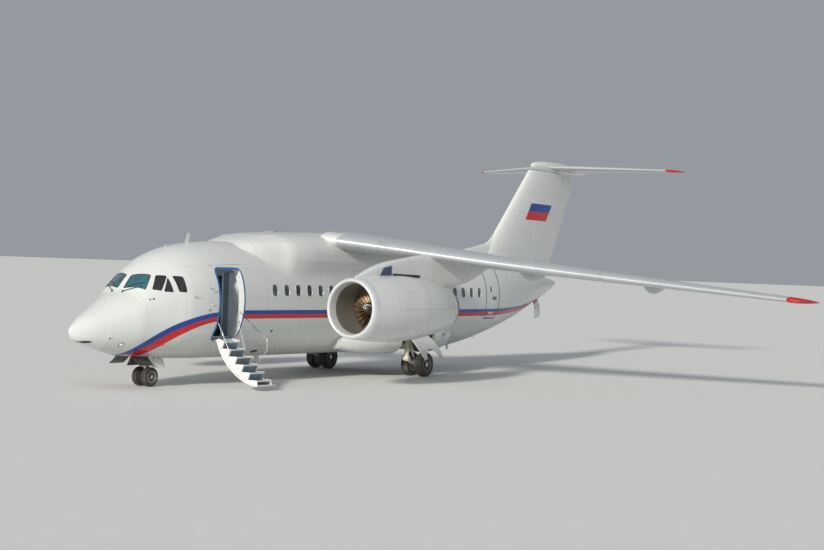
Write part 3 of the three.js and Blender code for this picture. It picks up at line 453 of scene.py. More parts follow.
def smoothed(rows: Array, between: int) -> Array:
    """A profile with rows put between its own, on smooth curves over its length."""
    reach = np.append(0, np.cumsum(np.linalg.norm(np.diff(rows, axis=0), axis=1)))
    at = np.interp(np.linspace(0, len(rows) - 1, (len(rows) - 1) * between + 1), np.arange(len(rows)), reach)
    return np.stack([Curve(reach, rows[:, k])(at) for k in range(rows.shape[1])], -1)


def carve(mesh: bpy.types.Mesh, cutter: bpy.types.Mesh, how: str = "DIFFERENCE") -> bpy.types.Mesh:
    """Cut, join or intersect one closed mesh with another.

    Args:
        mesh: The mesh that is worked on; it is used up.
        cutter: The other mesh; it is used up too.
        how: The boolean operation's name.

    Returns:
        The result, whose faces keep the slot numbers they had in either mesh.
    """
    objects = [bpy.data.objects.new(f"work_{m.name}", m) for m in (mesh, cutter)]
    for item in objects:
        bpy.context.scene.collection.objects.link(item)
        while len(item.data.materials) < 4:
            item.data.materials.append(None)
    cut = objects[0].modifiers.new("cut", "BOOLEAN")
    cut.operation, cut.object, cut.solver = how, objects[1], "MANIFOLD"
    bpy.context.view_layer.update()
    graph = bpy.context.evaluated_depsgraph_get()
    result = bpy.data.meshes.new_from_object(objects[0].evaluated_get(graph))
    result.name = mesh.name
    for item in objects:
        data = item.data
        bpy.data.objects.remove(item)
        bpy.data.meshes.remove(data)
    return result


# Shader wires

class Value:
    """A number on a shader's wire, with the arithmetic that the finishes are written in."""

    def __init__(self, tree: "Tree", socket: bpy.types.NodeSocket) -> None:
        """Hold the socket that gives the number."""
        self.tree, self.socket = tree, socket

    def _math(self, operation: str, *operands: "Value | float") -> "Value":
        """Add one Math node fed by the operands in order."""
        node = self.tree.node("ShaderNodeMath", {"operation": operation}, dict(enumerate(operands)))
        return Value(self.tree, node.outputs[0])

    def __add__(self, other: "Value | float") -> "Value":
        """The sum."""
        return self._math("ADD", self, other)

    __radd__ = __add__

    def __sub__(self, other: "Value | float") -> "Value":
        """The difference."""
        return self._math("SUBTRACT", self, other)

    def __rsub__(self, other: float) -> "Value":
        """The difference from a plain number."""
        return self._math("SUBTRACT", other, self)

    def __mul__(self, other: "Value | float") -> "Value":
        """The product."""
        return self._math("MULTIPLY", self, other)

    __rmul__ = __mul__

    def __truediv__(self, other: "Value | float") -> "Value":
        """The quotient."""
        return self._math("DIVIDE", self, other)

    def __pow__(self, other: float) -> "Value":
        """The power."""
        return self._math("POWER", self, other)

    def size(self) -> "Value":
        """The number without its sign."""
        return self._math("ABSOLUTE", self)

    def least(self, other: "Value | float") -> "Value":
        """The smaller of two."""
        return self._math("MINIMUM", self, other)

    def most(self, other: "Value | float") -> "Value":
        """The larger of two."""
        return self._math("MAXIMUM", self, other)

    def root(self) -> "Value":
        """The square root."""
        return self._math("SQRT", self)

    def sine(self) -> "Value":
        """The sine of an angle."""
        return self._math("SINE", self)

    def pingpong(self, scale: float) -> "Value":
        """A zigzag between 0 and the scale."""
        return self._math("PINGPONG", self, scale)

    def over(self, edge: float, soft: float = 0.004) -> "Value":
        """1 above an edge and 0 below it, changing smoothly over a short stretch."""
        return self.ease(edge - soft / 2, edge + soft / 2)

    def under(self, edge: float, soft: float = 0.004) -> "Value":
        """1 below an edge and 0 above it."""
        return self.ease(edge + soft / 2, edge - soft / 2)

    def between(self, low: float, high: float, soft: float = 0.004) -> "Value":
        """1 inside a range and 0 outside it."""
        return self.over(low, soft) * self.under(high, soft)

    def ease(self, low: float, high: float) -> "Value":
        """A smooth step from 0 at one value to 1 at another."""
        node = self.tree.node("ShaderNodeMapRange", {"interpolation_type": "SMOOTHSTEP", "clamp": True},
                              {"Value": self, "From Min": low, "From Max": high})
        return Value(self.tree, node.outputs["Result"])


class Tree:
    """One material's nodes, all made through one method."""

    def __init__(self, name: str) -> None:
        """Start an empty material with its output node."""
        self.material = bpy.data.materials.new(name)
        self.material.use_nodes = True
        self.nodes, self.links = self.material.node_tree.nodes, self.material.node_tree.links
        self.nodes.clear()
        self.output = self.node("ShaderNodeOutputMaterial", {}, {})

    def node(self, kind: str, settings: dict, inputs: dict) -> bpy.types.Node:
        """Add a node.

        Args:
            kind: The node's type.
            settings: Its own settings, set first.
            inputs: What its sockets get, by name or number: a constant, a Value or a socket.

        Returns:
            The node.
        """
        node = self.nodes.new(kind)
        for key, value in settings.items():
            setattr(node, key, value)
        for key, value in inputs.items():
            source = value.socket if isinstance(value, Value) else value
            if isinstance(source, bpy.types.NodeSocket):
                self.links.new(source, node.inputs[key])
            elif isinstance(source, tuple) and len(source) == 3 and len(node.inputs[key].default_value) == 4:
                node.inputs[key].default_value = (*source, 1.0)
            else:
                node.inputs[key].default_value = source
        return node

    def place(self) -> tuple[Value, Value, Value]:
        """The surface point's station, butt line and height."""
        where = self.node("ShaderNodeTexCoord", {}, {}).outputs["Object"]
        parts = self.node("ShaderNodeSeparateXYZ", {}, {0: where})
        x, y, z = (Value(self, parts.outputs[k]) for k in range(3))
        return x + STATION_ZERO, y, z

    def noise(self, scale: float, stretch: tuple[float, float, float] = (1, 1, 1), detail: float = 3.0,
              rough: float = 0.55) -> Value:
        """Cloudy noise over Object coordinates, about 0.5 in the middle."""
        where = self.node("ShaderNodeTexCoord", {}, {}).outputs["Object"]
        turned = self.node("ShaderNodeMapping", {}, {"Vector": where, "Scale": stretch})
        node = self.node("ShaderNodeTexNoise", {}, {"Vector": turned.outputs[0], "Scale": scale,
                                                   "Detail": detail, "Roughness": rough})
        return Value(self, node.outputs[0])

    def cells(self, scale: float, stretch: tuple[float, float, float] = (1, 1, 1)) -> Value:
        """Distance to the nearest of a crowd of scattered points."""
        where = self.node("ShaderNodeTexCoord", {}, {}).outputs["Object"]
        turned = self.node("ShaderNodeMapping", {}, {"Vector": where, "Scale": stretch})
        node = self.node("ShaderNodeTexVoronoi", {}, {"Vector": turned.outputs[0], "Scale": scale})
        return Value(self, node.outputs["Distance"])

    def blend(self, amount: Value, under: Colour | bpy.types.NodeSocket,
              over: Colour | bpy.types.NodeSocket) -> bpy.types.NodeSocket:
        """A colour that goes from one to another as the amount goes from 0 to 1."""
        node = self.node("ShaderNodeMix", {"data_type": "RGBA"}, {0: amount, 6: under, 7: over})
        return node.outputs[2]

    def bump(self, height: Value, distance: float, strength: float = 1.0) -> bpy.types.NodeSocket:
        """A normal that follows a height, in metres when the height is 0 to 1."""
        node = self.node("ShaderNodeBump", {}, {"Height": height, "Distance": distance, "Strength": strength})
        return node.outputs[0]

    def surface(self, **inputs: object) -> bpy.types.Material:
        """Finish with a Principled shader; underscores in the names stand for spaces."""
        named = {key.replace("_", " "): value for key, value in inputs.items()}
        shader = self.node("ShaderNodeBsdfPrincipled", {}, named)
        self.links.new(shader.outputs[0], self.output.inputs["Surface"])
        return self.material


def frame_distance(across: Value, up: Value, box: tuple[float, float, float, float], radius: float) -> Value:
    """How far a point lies outside a rounded box, below 0 inside.

    With q the distance past the box's sides less the corner radius, it is the length of q's positive
    part plus the smaller of 0 and q's larger part, less the radius.

    Args:
        across: The point's first number.
        up: Its second.
        box: The box's low and high of the first, then of the second.
        radius: Its corner radius.

    Returns:
        The distance.
    """
    x0, x1, z0, z1 = box
    qx = (across - (x0 + x1) / 2).size() - ((x1 - x0) / 2 - radius)
    qz = (up - (z0 + z1) / 2).size() - ((z1 - z0) / 2 - radius)
    outside = (qx.most(0.0) ** 2.0 + qz.most(0.0) ** 2.0).root()
    return outside + qx.most(qz).least(0.0) - radius


# Finishes

WHITE: Colour = (0.76, 0.78, 0.765)
BLUE: Colour = (0.0, 0.055, 0.34)
RED: Colour = (0.68, 0.002, 0.004)
DOOR_BLUE: Colour = (0.012, 0.16, 0.45)
SEAM_BLUE: Colour = (0.02, 0.07, 0.18)


# Edges of the double stripe: level, then the two falls ahead of its straight part and the rise behind
STRIPE = ((1.975, 0.0501, 0.0081, 0.018), (2.1, 0.0466, 0.0049, 0.0173), (2.225, 0.0376, 0.0045, 0.012))


class Livery(Enum):
    """What is painted over the base coat."""

    PLAIN = "plain"
    FUSELAGE = "fuselage"
    FIN = "fin"
    WING = "wing"
    TAILPLANE = "tailplane"
    NACELLE = "nacelle"
    STAIR = "stair"


@dataclass(frozen=True)
class Paint:
    """Aircraft enamel: a base coat with its livery, panel joints, faint waviness and grime."""

    name: str
    colour: Colour = WHITE
    livery: Livery = Livery.PLAIN
    roughness: float = 0.27
    grime: float = 0.25

    def build(self) -> bpy.types.Material:
        """Mix base coat, grime, livery and joints into one material."""
        tree = Tree(self.name)
        x, y, z = tree.place()
        cloud = tree.noise(0.9, detail=4.0)
        streaks = tree.noise(2.2, (0.35, 3.0, 3.0), 4.0)
        colour = tree.blend((cloud - 0.35) * 0.5, self.colour, tuple(0.9 * c for c in self.colour))
        colour, joints, soft = self._livery(tree, colour, x, y, z)
        dirt = (streaks.ease(0.45, 0.8) * soft * self.grime).least(1.0)
        colour = tree.blend(dirt, colour, (0.3, 0.28, 0.25))
        colour = tree.blend(joints * 0.42, colour, (0.2, 0.21, 0.22))
        rough = (cloud * 0.12 + (self.roughness - 0.06) + dirt * 0.3).least(1.0)
        wave = tree.noise(1.6, detail=1.0)
        height = wave * 0.14 - joints
        return tree.surface(Base_Color=colour, Roughness=rough, Normal=tree.bump(height, 0.002, 0.55),
                            Coat_Weight=0.2, Coat_Roughness=0.12)

    def _livery(self, tree: Tree, colour: bpy.types.NodeSocket, x: Value, y: Value,
                z: Value) -> tuple[bpy.types.NodeSocket, Value, Value]:
        """The painted-over colour, the panel joints and where grime gathers, for the chosen livery."""
        build = {
            Livery.FUSELAGE: self._fuselage, Livery.FIN: self._fin, Livery.WING: self._wing,
            Livery.TAILPLANE: self._tailplane, Livery.NACELLE: self._nacelle, Livery.STAIR: self._stair,
        }.get(self.livery, self._plain)
        return build(tree, colour, x, y, z)

    def _plain(self, tree: Tree, colour: bpy.types.NodeSocket, x: Value, y: Value,
               z: Value) -> tuple[bpy.types.NodeSocket, Value, Value]:
        """No livery: joints 1.2 m apart along the part."""
        return colour, joint(x, 1.2, 0.006), z.ease(3.0, 0.3) + 0.15

    def _fuselage(self, tree: Tree, colour: bpy.types.NodeSocket, x: Value, y: Value,
                  z: Value) -> tuple[bpy.types.NodeSocket, Value, Value]:
        """Painted shade on the lower fuselage, the double stripe, the door outlines and the skin's joints.

        Ahead of the joint station the stripe's edges drop by t^2 (a + b t^2), with t the distance
        ahead; behind the aft station they rise by c times the distance squared.
        """
        # Painted shade: the colour darkens towards grey-green below 1.9 m, standing in for the shade on the lower
        # fuselage.
        colour = tree.blend(z.ease(1.9, 0.85) * 0.38, colour, (0.4, 0.43, 0.42))
        ahead, behind = (5.2 - x).most(0.0), (x - 18.8).most(0.0)
        low, middle, top = (
            z + ahead ** 2.0 * (a + ahead ** 2.0 * b) - behind ** 2.0 * c - level
            for level, a, b, c in STRIPE)
        colour = tree.blend(low.over(0.0) * middle.under(0.0), colour, RED)
        colour = tree.blend(middle.over(0.0) * top.under(0.0), colour, BLUE)
        colour = tree.blend(top.between(0.1, 0.16) * x.between(5.3, 20.2, 0.1) * 0.25, colour, (0.85, 0.86, 0.86))
        port = y.under(0.0)
        doorway = frame_distance(x, z, (4.18, 5.155, 1.39, 3.395), 0.12)
        colour = tree.blend(doorway.between(-0.02, 0.062) * port, colour, DOOR_BLUE)
        rear = frame_distance(x, z, (18.62, 19.58, 1.9, 3.78), 0.1)
        colour = tree.blend(rear.between(0.0, 0.045) * y.size().over(0.6) * port, colour, SEAM_BLUE)
        belly_joint = joint(z, 0.86, 0.006) * x.over(3.2)
        service = frame_distance(x, z, (4.35, 5.0, 1.55, 3.1), 0.1).size().under(0.008) * y.over(0.0)
        stencil = frame_distance(x, z, (18.9, 19.25, 2.05, 2.12), 0.01).under(0.0) * port
        colour = tree.blend(stencil, colour, (0.8, 0.8, 0.8))
        hatch = frame_distance(x, y.size(), (20.7, 21.6, 0.1, 0.62), 0.06).size().under(0.007) * z.under(2.0)
        cargo = frame_distance(x, z, (6.9, 8.1, 0.85, 1.55), 0.06).size().under(0.007) * y.over(0.0)
        joints = joint(x + 0.32, 1.096, 0.007).most(belly_joint).most(service).most(hatch).most(cargo)
        return colour, joints, z.ease(1.5, 0.75) * 1.5 + 0.1

    def _fin(self, tree: Tree, colour: bpy.types.NodeSocket, x: Value, y: Value,
             z: Value) -> tuple[bpy.types.NodeSocket, Value, Value]:
        """Three plain bands on the fin, slanted with its edges, and its joints."""
        along = x - (z - 6.4) * 0.7
        band = along.between(24.08, 25.87)
        for low, high, tint in ((6.4, 6.66, (0.8, 0.8, 0.8)), (6.07, 6.4, BLUE), (5.72, 6.07, RED)):
            colour = tree.blend(band * z.between(low, high), colour, tint)
        return colour, joint(z + 0.2, 0.78, 0.006).most(joint(along, 1.3, 0.006)), z.ease(5.4, 3.9) * 0.8 + 0.1

    def _wing(self, tree: Tree, colour: bpy.types.NodeSocket, x: Value, y: Value,
              z: Value) -> tuple[bpy.types.NodeSocket, Value, Value]:
        """The box's joints along and across the wing.

        The chord fraction is the distance behind the leading edge over the local chord.
        """
        span = y.size()
        lead = (span - 1.7) * 0.5272 + 9.25
        chord = 4.6 - span * (3.1 / 14.455)
        part = (x - lead) / chord
        lines = (part - 0.16).size().under(0.0012, 0.0006).most((part - 0.64).size().under(0.0012, 0.0006))
        spoiler = (part.between(0.645, 0.72) * span.between(2.2, 9.6)) * joint(span - 0.2, 1.5, 0.01)
        colour = tree.blend(part.between(0.16, 0.64) * 0.1, colour, (0.5, 0.52, 0.53))
        return colour, joint(span, 1.43, 0.006).most(lines).most(spoiler), part.ease(0.3, 0.95) * 0.8 + 0.2

    def _tailplane(self, tree: Tree, colour: bpy.types.NodeSocket, x: Value, y: Value,
                   z: Value) -> tuple[bpy.types.NodeSocket, Value, Value]:
        """Red tips and joints across the span."""
        span = y.size()
        colour = tree.blend(span.over(4.33), colour, RED)
        return colour, joint(span, 1.1, 0.006), span * 0.0 + 0.25

    def _nacelle(self, tree: Tree, colour: bpy.types.NodeSocket, x: Value, y: Value,
                 z: Value) -> tuple[bpy.types.NodeSocket, Value, Value]:
        """Cowl seams: the fan case, the reverser and the split along the sides, with painted shade on the lower half.
        """
        seams = (x - 7.98).size().under(0.008).most((x - 9.62).size().under(0.008))
        seams = seams.most((x - 10.9).size().under(0.008))
        sides = ((z - 2.39).size().under(0.008)) * x.over(7.98)
        vent = frame_distance(x, z, (8.55, 8.95, 2.75, 2.9), 0.05).size().under(0.007)
        # Painted shade: the lower half of the cowl darkens towards grey, standing in for the shade under it.
        colour = tree.blend(z.ease(2.5, 1.45) * 0.32, colour, (0.4, 0.43, 0.43))
        heat = x.ease(10.2, 11.5)
        colour = tree.blend(heat * 0.25, colour, (0.52, 0.49, 0.44))
        return colour, seams.most(sides).most(vent), z.ease(2.2, 1.4) * 1.4 + 0.15

    def _stair(self, tree: Tree, colour: bpy.types.NodeSocket, x: Value, y: Value,
               z: Value) -> tuple[bpy.types.NodeSocket, Value, Value]:
        """Scuffs on the airstair, with no joints."""
        scuff = tree.noise(14.0, detail=6.0).ease(0.56, 0.72)
        colour = tree.blend(scuff * 0.35, colour, (0.42, 0.42, 0.41))
        return colour, x * 0.0, z * 0.0 + 0.7


def joint(value: Value, pitch: float, width: float) -> Value:
    """Thin lines at every multiple of a pitch."""
    return value.pingpong(pitch / 2).under(width / 2, width / 2)


@dataclass(frozen=True)
class Metal:
    """Bare metal: brushed or polished, with fingerprints and soot as noise in its roughness."""

    name: str
    colour: Colour
    roughness: float = 0.25
    brushed: tuple[float, float, float] = (1, 1, 1)
    dirt: Colour = (0.25, 0.23, 0.2)
    amount: float = 0.15

    def build(self) -> bpy.types.Material:
        """Mix the metal with its dirt."""
        tree = Tree(self.name)
        brush = tree.noise(30.0, self.brushed, 3.0)
        spots = tree.noise(3.0, detail=5.0)
        soil = spots.ease(0.5, 0.75) * self.amount
        colour = tree.blend(soil, self.colour, self.dirt)
        rough = (brush * 0.14 + (self.roughness - 0.07) + soil).least(1.0)
        return tree.surface(Base_Color=colour, Metallic=1.0, Roughness=rough,
                            Normal=tree.bump(brush, 0.0004, 0.4))


@dataclass(frozen=True)
class Pane:
    """Toughened glass with a faint coating; its dark colour is painted shade for the unlit inside behind it."""

    name: str
    colour: Colour
    roughness: float = 0.04

    def build(self) -> bpy.types.Material:
        """Painted shade of the inside, darker in cloudy patches, under a clear, slightly dusty coat."""
        tree = Tree(self.name)
        _, _, z = tree.place()
        dust = tree.noise(5.0, detail=4.0)
        # Painted shade: cloudy patches darken the glass further, standing in for the unlit inside.
        depth = tree.noise(1.3, detail=2.0).ease(0.35, 0.65)
        colour = tree.blend(depth, self.colour, tuple(0.45 * c for c in self.colour))
        colour = tree.blend(dust.ease(0.55, 0.8) * 0.12, colour, (0.4, 0.4, 0.38))
        return tree.surface(Base_Color=colour, Roughness=dust * 0.06 + self.roughness,
                            Specular_IOR_Level=0.75, Coat_Weight=1.0, Coat_Roughness=0.02,
                            Normal=tree.bump(tree.noise(2.0, detail=1.0), 0.002, 0.3))


@dataclass(frozen=True)
class Rubber:
    """Tyre rubber, dusty on the walls and worn smooth on the tread."""

    name: str
    colour: Colour
    dust: Colour = (0.3, 0.25, 0.19)
    amount: float = 0.55

    def build(self) -> bpy.types.Material:
        """Mix rubber with ground-in dust."""
        tree = Tree(self.name)
        film = tree.noise(6.0, detail=6.0).ease(0.3, 0.8) * self.amount
        grain = tree.noise(140.0, detail=2.0)
        colour = tree.blend(film, self.colour, self.dust)
        return tree.surface(Base_Color=colour, Roughness=(film * 0.2 + 0.68).least(1.0),
                            Normal=tree.bump(grain, 0.0008, 0.5))


@dataclass(frozen=True)
class Coated:
    """A plain coated or moulded surface: primer, carpet, panel or casting."""

    name: str
    colour: Colour
    roughness: float = 0.5
    grain: float = 60.0
    depth: float = 0.0006
    metallic: float = 0.0
    shade: float = 0.82
    soil: float = 0.2

    def build(self) -> bpy.types.Material:
        """Two tones of the colour with a fine grain and some soil."""
        tree = Tree(self.name)
        grain = tree.noise(self.grain, detail=3.0)
        cloud = tree.noise(2.4, detail=5.0)
        colour = tree.blend(cloud.ease(0.3, 0.7), self.colour, tuple(self.shade * c for c in self.colour))
        colour = tree.blend(cloud.ease(0.55, 0.85) * self.soil, colour, (0.16, 0.14, 0.12))
        return tree.surface(Base_Color=colour, Roughness=(grain * 0.15 + self.roughness - 0.07).least(1.0),
                            Metallic=self.metallic, Normal=tree.bump(grain, self.depth, 0.6))


@dataclass(frozen=True)
class Lens:
    """A coloured lamp cover."""

    name: str
    colour: Colour
    glow: float = 0.3

    def build(self) -> bpy.types.Material:
        """Ribbed moulded plastic that is lit a little from inside."""
        tree = Tree(self.name)
        _, _, z = tree.place()
        ribs = (z * 900.0).sine() * 0.5 + 0.5
        colour = tree.blend(ribs * 0.3, self.colour, tuple(0.6 * c for c in self.colour))
        return tree.surface(Base_Color=colour, Roughness=0.12, Coat_Weight=1.0, Emission_Color=colour,
                            Emission_Strength=self.glow, Normal=tree.bump(ribs, 0.0006, 0.5))


@dataclass(frozen=True)
class Tread:
    """A stair's grip surface: a grid of raised lozenges, worn bright in patches."""

    name: str
    colour: Colour

    def build(self) -> bpy.types.Material:
        """Crossed sines make the lozenges; noise wears them."""
        tree = Tree(self.name)
        x, y, _ = tree.place()
        grip = ((x + y) * 210.0).sine() * ((x - y) * 210.0).sine()
        worn = tree.noise(7.0, detail=5.0).ease(0.45, 0.7)
        colour = tree.blend(worn * 0.6, self.colour, tuple(min(1.0, 1.8 * c) for c in self.colour))
        colour = tree.blend(grip.ease(0.2, 0.6) * 0.35, colour, (0.62, 0.66, 0.68))
        return tree.surface(Base_Color=colour, Roughness=worn * -0.15 + 0.55, Metallic=0.2,
                            Normal=tree.bump(grip, 0.0015, 0.6))


class Finish(Enum):
    """Every finish of the aircraft and its stage."""

    SKIN = Paint("skin_paint", livery=Livery.FUSELAGE, grime=0.3)
    WHITE = Paint("white_paint_plain")
    DOOR_SKIN = Paint("door_paint", livery=Livery.FUSELAGE, grime=0.2)
    WING = Paint("wing_paint", (0.52, 0.56, 0.57), Livery.WING, 0.3, 0.3)
    FIN = Paint("fin_paint", livery=Livery.FIN, grime=0.2)
    TAIL = Paint("tailplane_paint", (0.5, 0.52, 0.53), Livery.TAILPLANE, 0.3, 0.2)
    NACELLE = Paint("nacelle_paint", (0.72, 0.74, 0.73), Livery.NACELLE, 0.26, 0.28)
    STAIR = Paint("stair_paint", (0.8, 0.81, 0.8), Livery.STAIR, 0.35, 0.3)
    RED = Paint("red_paint", RED, Livery.PLAIN, 0.3, 0.1)
    BLUE = Paint("blue_paint", BLUE, Livery.PLAIN, 0.3, 0.1)
    RADOME = Paint("radome_paint", (0.77, 0.79, 0.775), Livery.PLAIN, 0.3, 0.1)
    SLAT = Coated("slat_metal", (0.62, 0.65, 0.68), 0.36, 20.0, 0.0003, 0.35, 0.92, 0.15)
    LIP = Coated("lip_metal", (0.82, 0.83, 0.84), 0.34, 20.0, 0.0003, 0.3, 0.95, 0.05)
    LINING = Coated("intake_lining", (0.2, 0.19, 0.16), 0.62, 90.0, soil=0.2)
    # Dark paint of the airstair's back stay, and painted shade on the nose gear doors.
    STRUT_AND_SHADE = Coated("dark_strut_and_painted_shade", (0.06, 0.06, 0.062), 0.4, 60.0, soil=0.1)
    # Painted shade for the pylon's vent recess.
    VENT_SHADE = Coated("painted_vent_shade", (0.09, 0.13, 0.24), 0.5, 60.0, soil=0.1)
    POLISHED = Metal("polished_metal", (0.72, 0.73, 0.74), 0.22)
    CHROME = Metal("chromed_metal", (0.75, 0.76, 0.77), 0.1, amount=0.05)
    STEEL = Metal("machined_steel", (0.45, 0.45, 0.46), 0.35, amount=0.3)
    BRONZE = Metal("fan_metal", (0.34, 0.24, 0.15), 0.48, amount=0.3)
    NOZZLE = Metal("nozzle_metal", (0.33, 0.29, 0.26), 0.45, amount=0.5)
    # Glass colours: the tint with painted shade of the unlit insides behind the panes.
    CABIN_GLASS = Pane("cabin_glass", (0.07, 0.09, 0.11))
    FRONT_GLASS = Pane("windshield_glass", (0.025, 0.14, 0.17))
    SIDE_GLASS = Pane("side_glass", (0.02, 0.022, 0.022))
    TYRE = Rubber("tyre_rubber", (0.035, 0.032, 0.03), (0.2, 0.175, 0.145))
    SEAL = Rubber("seal_rubber", (0.03, 0.03, 0.032), (0.12, 0.11, 0.1), 0.3)
    BAY = Coated("bay_primer", (0.2, 0.23, 0.19), 0.6, 20.0, soil=0.5)
    LEG = Coated("leg_paint", (0.14, 0.15, 0.155), 0.42, 50.0, soil=0.3)
    CASTING = Coated("casting_paint", (0.8, 0.76, 0.6), 0.45, 70.0, soil=0.35)
    HUB = Coated("hub_paint", (0.2, 0.2, 0.2), 0.45, 50.0, metallic=0.4, soil=0.4)
    PANEL = Coated("cabin_panel", (0.76, 0.83, 0.9), 0.5, 120.0, 0.0003, soil=0.05)
    # Painted shade for the unlit passage beyond the vestibule.
    PASSAGE_SHADE = Coated("painted_passage_shade", (0.05, 0.06, 0.075), 0.6, 120.0, 0.0003, soil=0.05)
    CARPET = Coated("vestibule_carpet", (0.28, 0.36, 0.43), 0.95, 400.0, 0.003, soil=0.1)
    SILL = Coated("sill_blue", (0.02, 0.06, 0.16), 0.4, 100.0, soil=0.1)
    BLACK = Coated("matt_black", (0.02, 0.02, 0.022), 0.6, 80.0, soil=0.1)
    TREAD = Tread("step_grip", (0.17, 0.23, 0.26))
    RED_LENS = Lens("red_lens", (0.75, 0.02, 0.01), 0.5)
    GREEN_LENS = Lens("green_lens", (0.02, 0.5, 0.1), 0.2)
    CLEAR_LENS = Lens("clear_lens", (0.8, 0.8, 0.75), 0.4)
    YELLOW = Coated("yellow_mark", (0.75, 0.6, 0.02), 0.4)

    def material(self) -> bpy.types.Material:
        """The finish's material, made the first time it is asked for."""
        found = bpy.data.materials.get(self.value.name)
        return found or self.value.build()


# Publishing a piece

@dataclass
class Yard:
    """Puts finished meshes into the scene and hands them to the frame."""

    total: int = 0

    def publish(self, name: str, shape: Shape | bpy.types.Mesh, body: str, finishes: Sequence[Finish],
                replaces: Sequence[str] = (), angle: float = 32.0,
                bevel: float = 0.0, fair: BodyForm | None = None) -> bpy.types.Object:
        """Make one piece of a shape.

        Args:
            name: The piece's name.
            shape: Its surface, in stations.
            body: The body that carries it.
            finishes: What its slots are dressed in.
            replaces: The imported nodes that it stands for.
            angle: Edges sharper than this stay sharp.
            bevel: How wide its edges are rounded.
            fair: The form whose own normals the mesh takes where it lies on it.

        Returns:
            The object.
        """
        mesh = shape.mesh(name) if isinstance(shape, Shape) else shape
        mesh.name = name
        slots = np.empty(len(mesh.polygons), int)
        mesh.polygons.foreach_get("material_index", slots)
        mesh.materials.clear()
        for finish in finishes:
            mesh.materials.append(finish.material())
        mesh.polygons.foreach_set("material_index", slots)
        mesh.polygons.foreach_set("use_smooth", np.ones(len(mesh.polygons), bool))
        mesh.set_sharp_from_angle(angle=math.radians(angle))
        if fair:
            self.fair(mesh, fair)
        mesh.transform(Matrix.Translation((-STATION_ZERO, 0, 0)))
        piece = bpy.data.objects.new(name, mesh)
        bpy.context.scene.collection.objects.link(piece)
        if bevel:
            soft = piece.modifiers.new("edges", "BEVEL")
            soft.width, soft.segments, soft.limit_method = bevel, 2, "ANGLE"
            soft.angle_limit, soft.harden_normals = math.radians(40), False
        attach(piece, body)
        if replaces:
            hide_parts(*replaces)
        faces = sum(len(p.vertices) - 2 for p in mesh.polygons)
        self.total += faces
        log.info("%s rides on %s, %d triangles, %d in all", name, body, faces, self.total)
        return piece

    @staticmethod
    def fair(mesh: bpy.types.Mesh, form: BodyForm) -> None:
        """Give the corners that lie on a form its own normals, so cuts leave no dents in the light.

        A face belongs to the form where its corners are within 4 mm of it, as the fill over the
        slope's length tells, and it faces the same way.

        Args:
            mesh: The mesh, in stations.
            form: The form.
        """
        points = np.empty(len(mesh.vertices) * 3)
        mesh.vertices.foreach_get("co", points)
        points = points.reshape(-1, 3)
        slope = form.slope(points)
        length = np.maximum(np.linalg.norm(slope, axis=1), 1e-9)
        near = np.abs(form.fill(points)) / length < 0.004
        corner = np.empty(len(mesh.loops), int)
        mesh.loops.foreach_get("vertex_index", corner)
        normals = np.empty(len(mesh.loops) * 3)
        mesh.loops.foreach_get("normal", normals)
        normals = normals.reshape(-1, 3)
        flat = np.empty(len(mesh.polygons) * 3)
        mesh.polygons.foreach_get("normal", flat)
        start, size = np.empty(len(mesh.polygons), int), np.empty(len(mesh.polygons), int)
        mesh.polygons.foreach_get("loop_start", start)
        mesh.polygons.foreach_get("loop_total", size)
        face = np.repeat(np.arange(len(size)), size)
        own = (slope / length[:, None])[corner]
        aligned = np.einsum("ij,ij->i", own, flat.reshape(-1, 3)[face]) > 0.85
        whole = np.minimum.reduceat((near[corner] & aligned).astype(int), start)[face].astype(bool)
        normals[whole] = own[whole]
        mesh.normals_split_custom_set(normals)


YARD = Yard()


# Fuselage

# Corners of the cockpit panes on the port skin, as station, height and distance from the centre line
FRONT_PANE = ((1.835, 2.772, 0.1), (2.17, 3.158, 0.08), (2.372, 3.172, 0.64), (2.03, 2.75, 0.785))
SIDE_PANES = (
    ((2.16, 2.772, 0.907), (2.437, 3.165, 0.746), (2.652, 3.16, 0.97), (2.352, 2.743, 1.079)),
    ((2.413, 2.728, 1.127), (2.648, 3.121, 1.007), (2.65, 2.713, 1.264)),
    ((2.801, 2.733, 1.332), (2.771, 3.164, 1.058), (3.026, 3.151, 1.235), (3.013, 2.717, 1.436)),
)


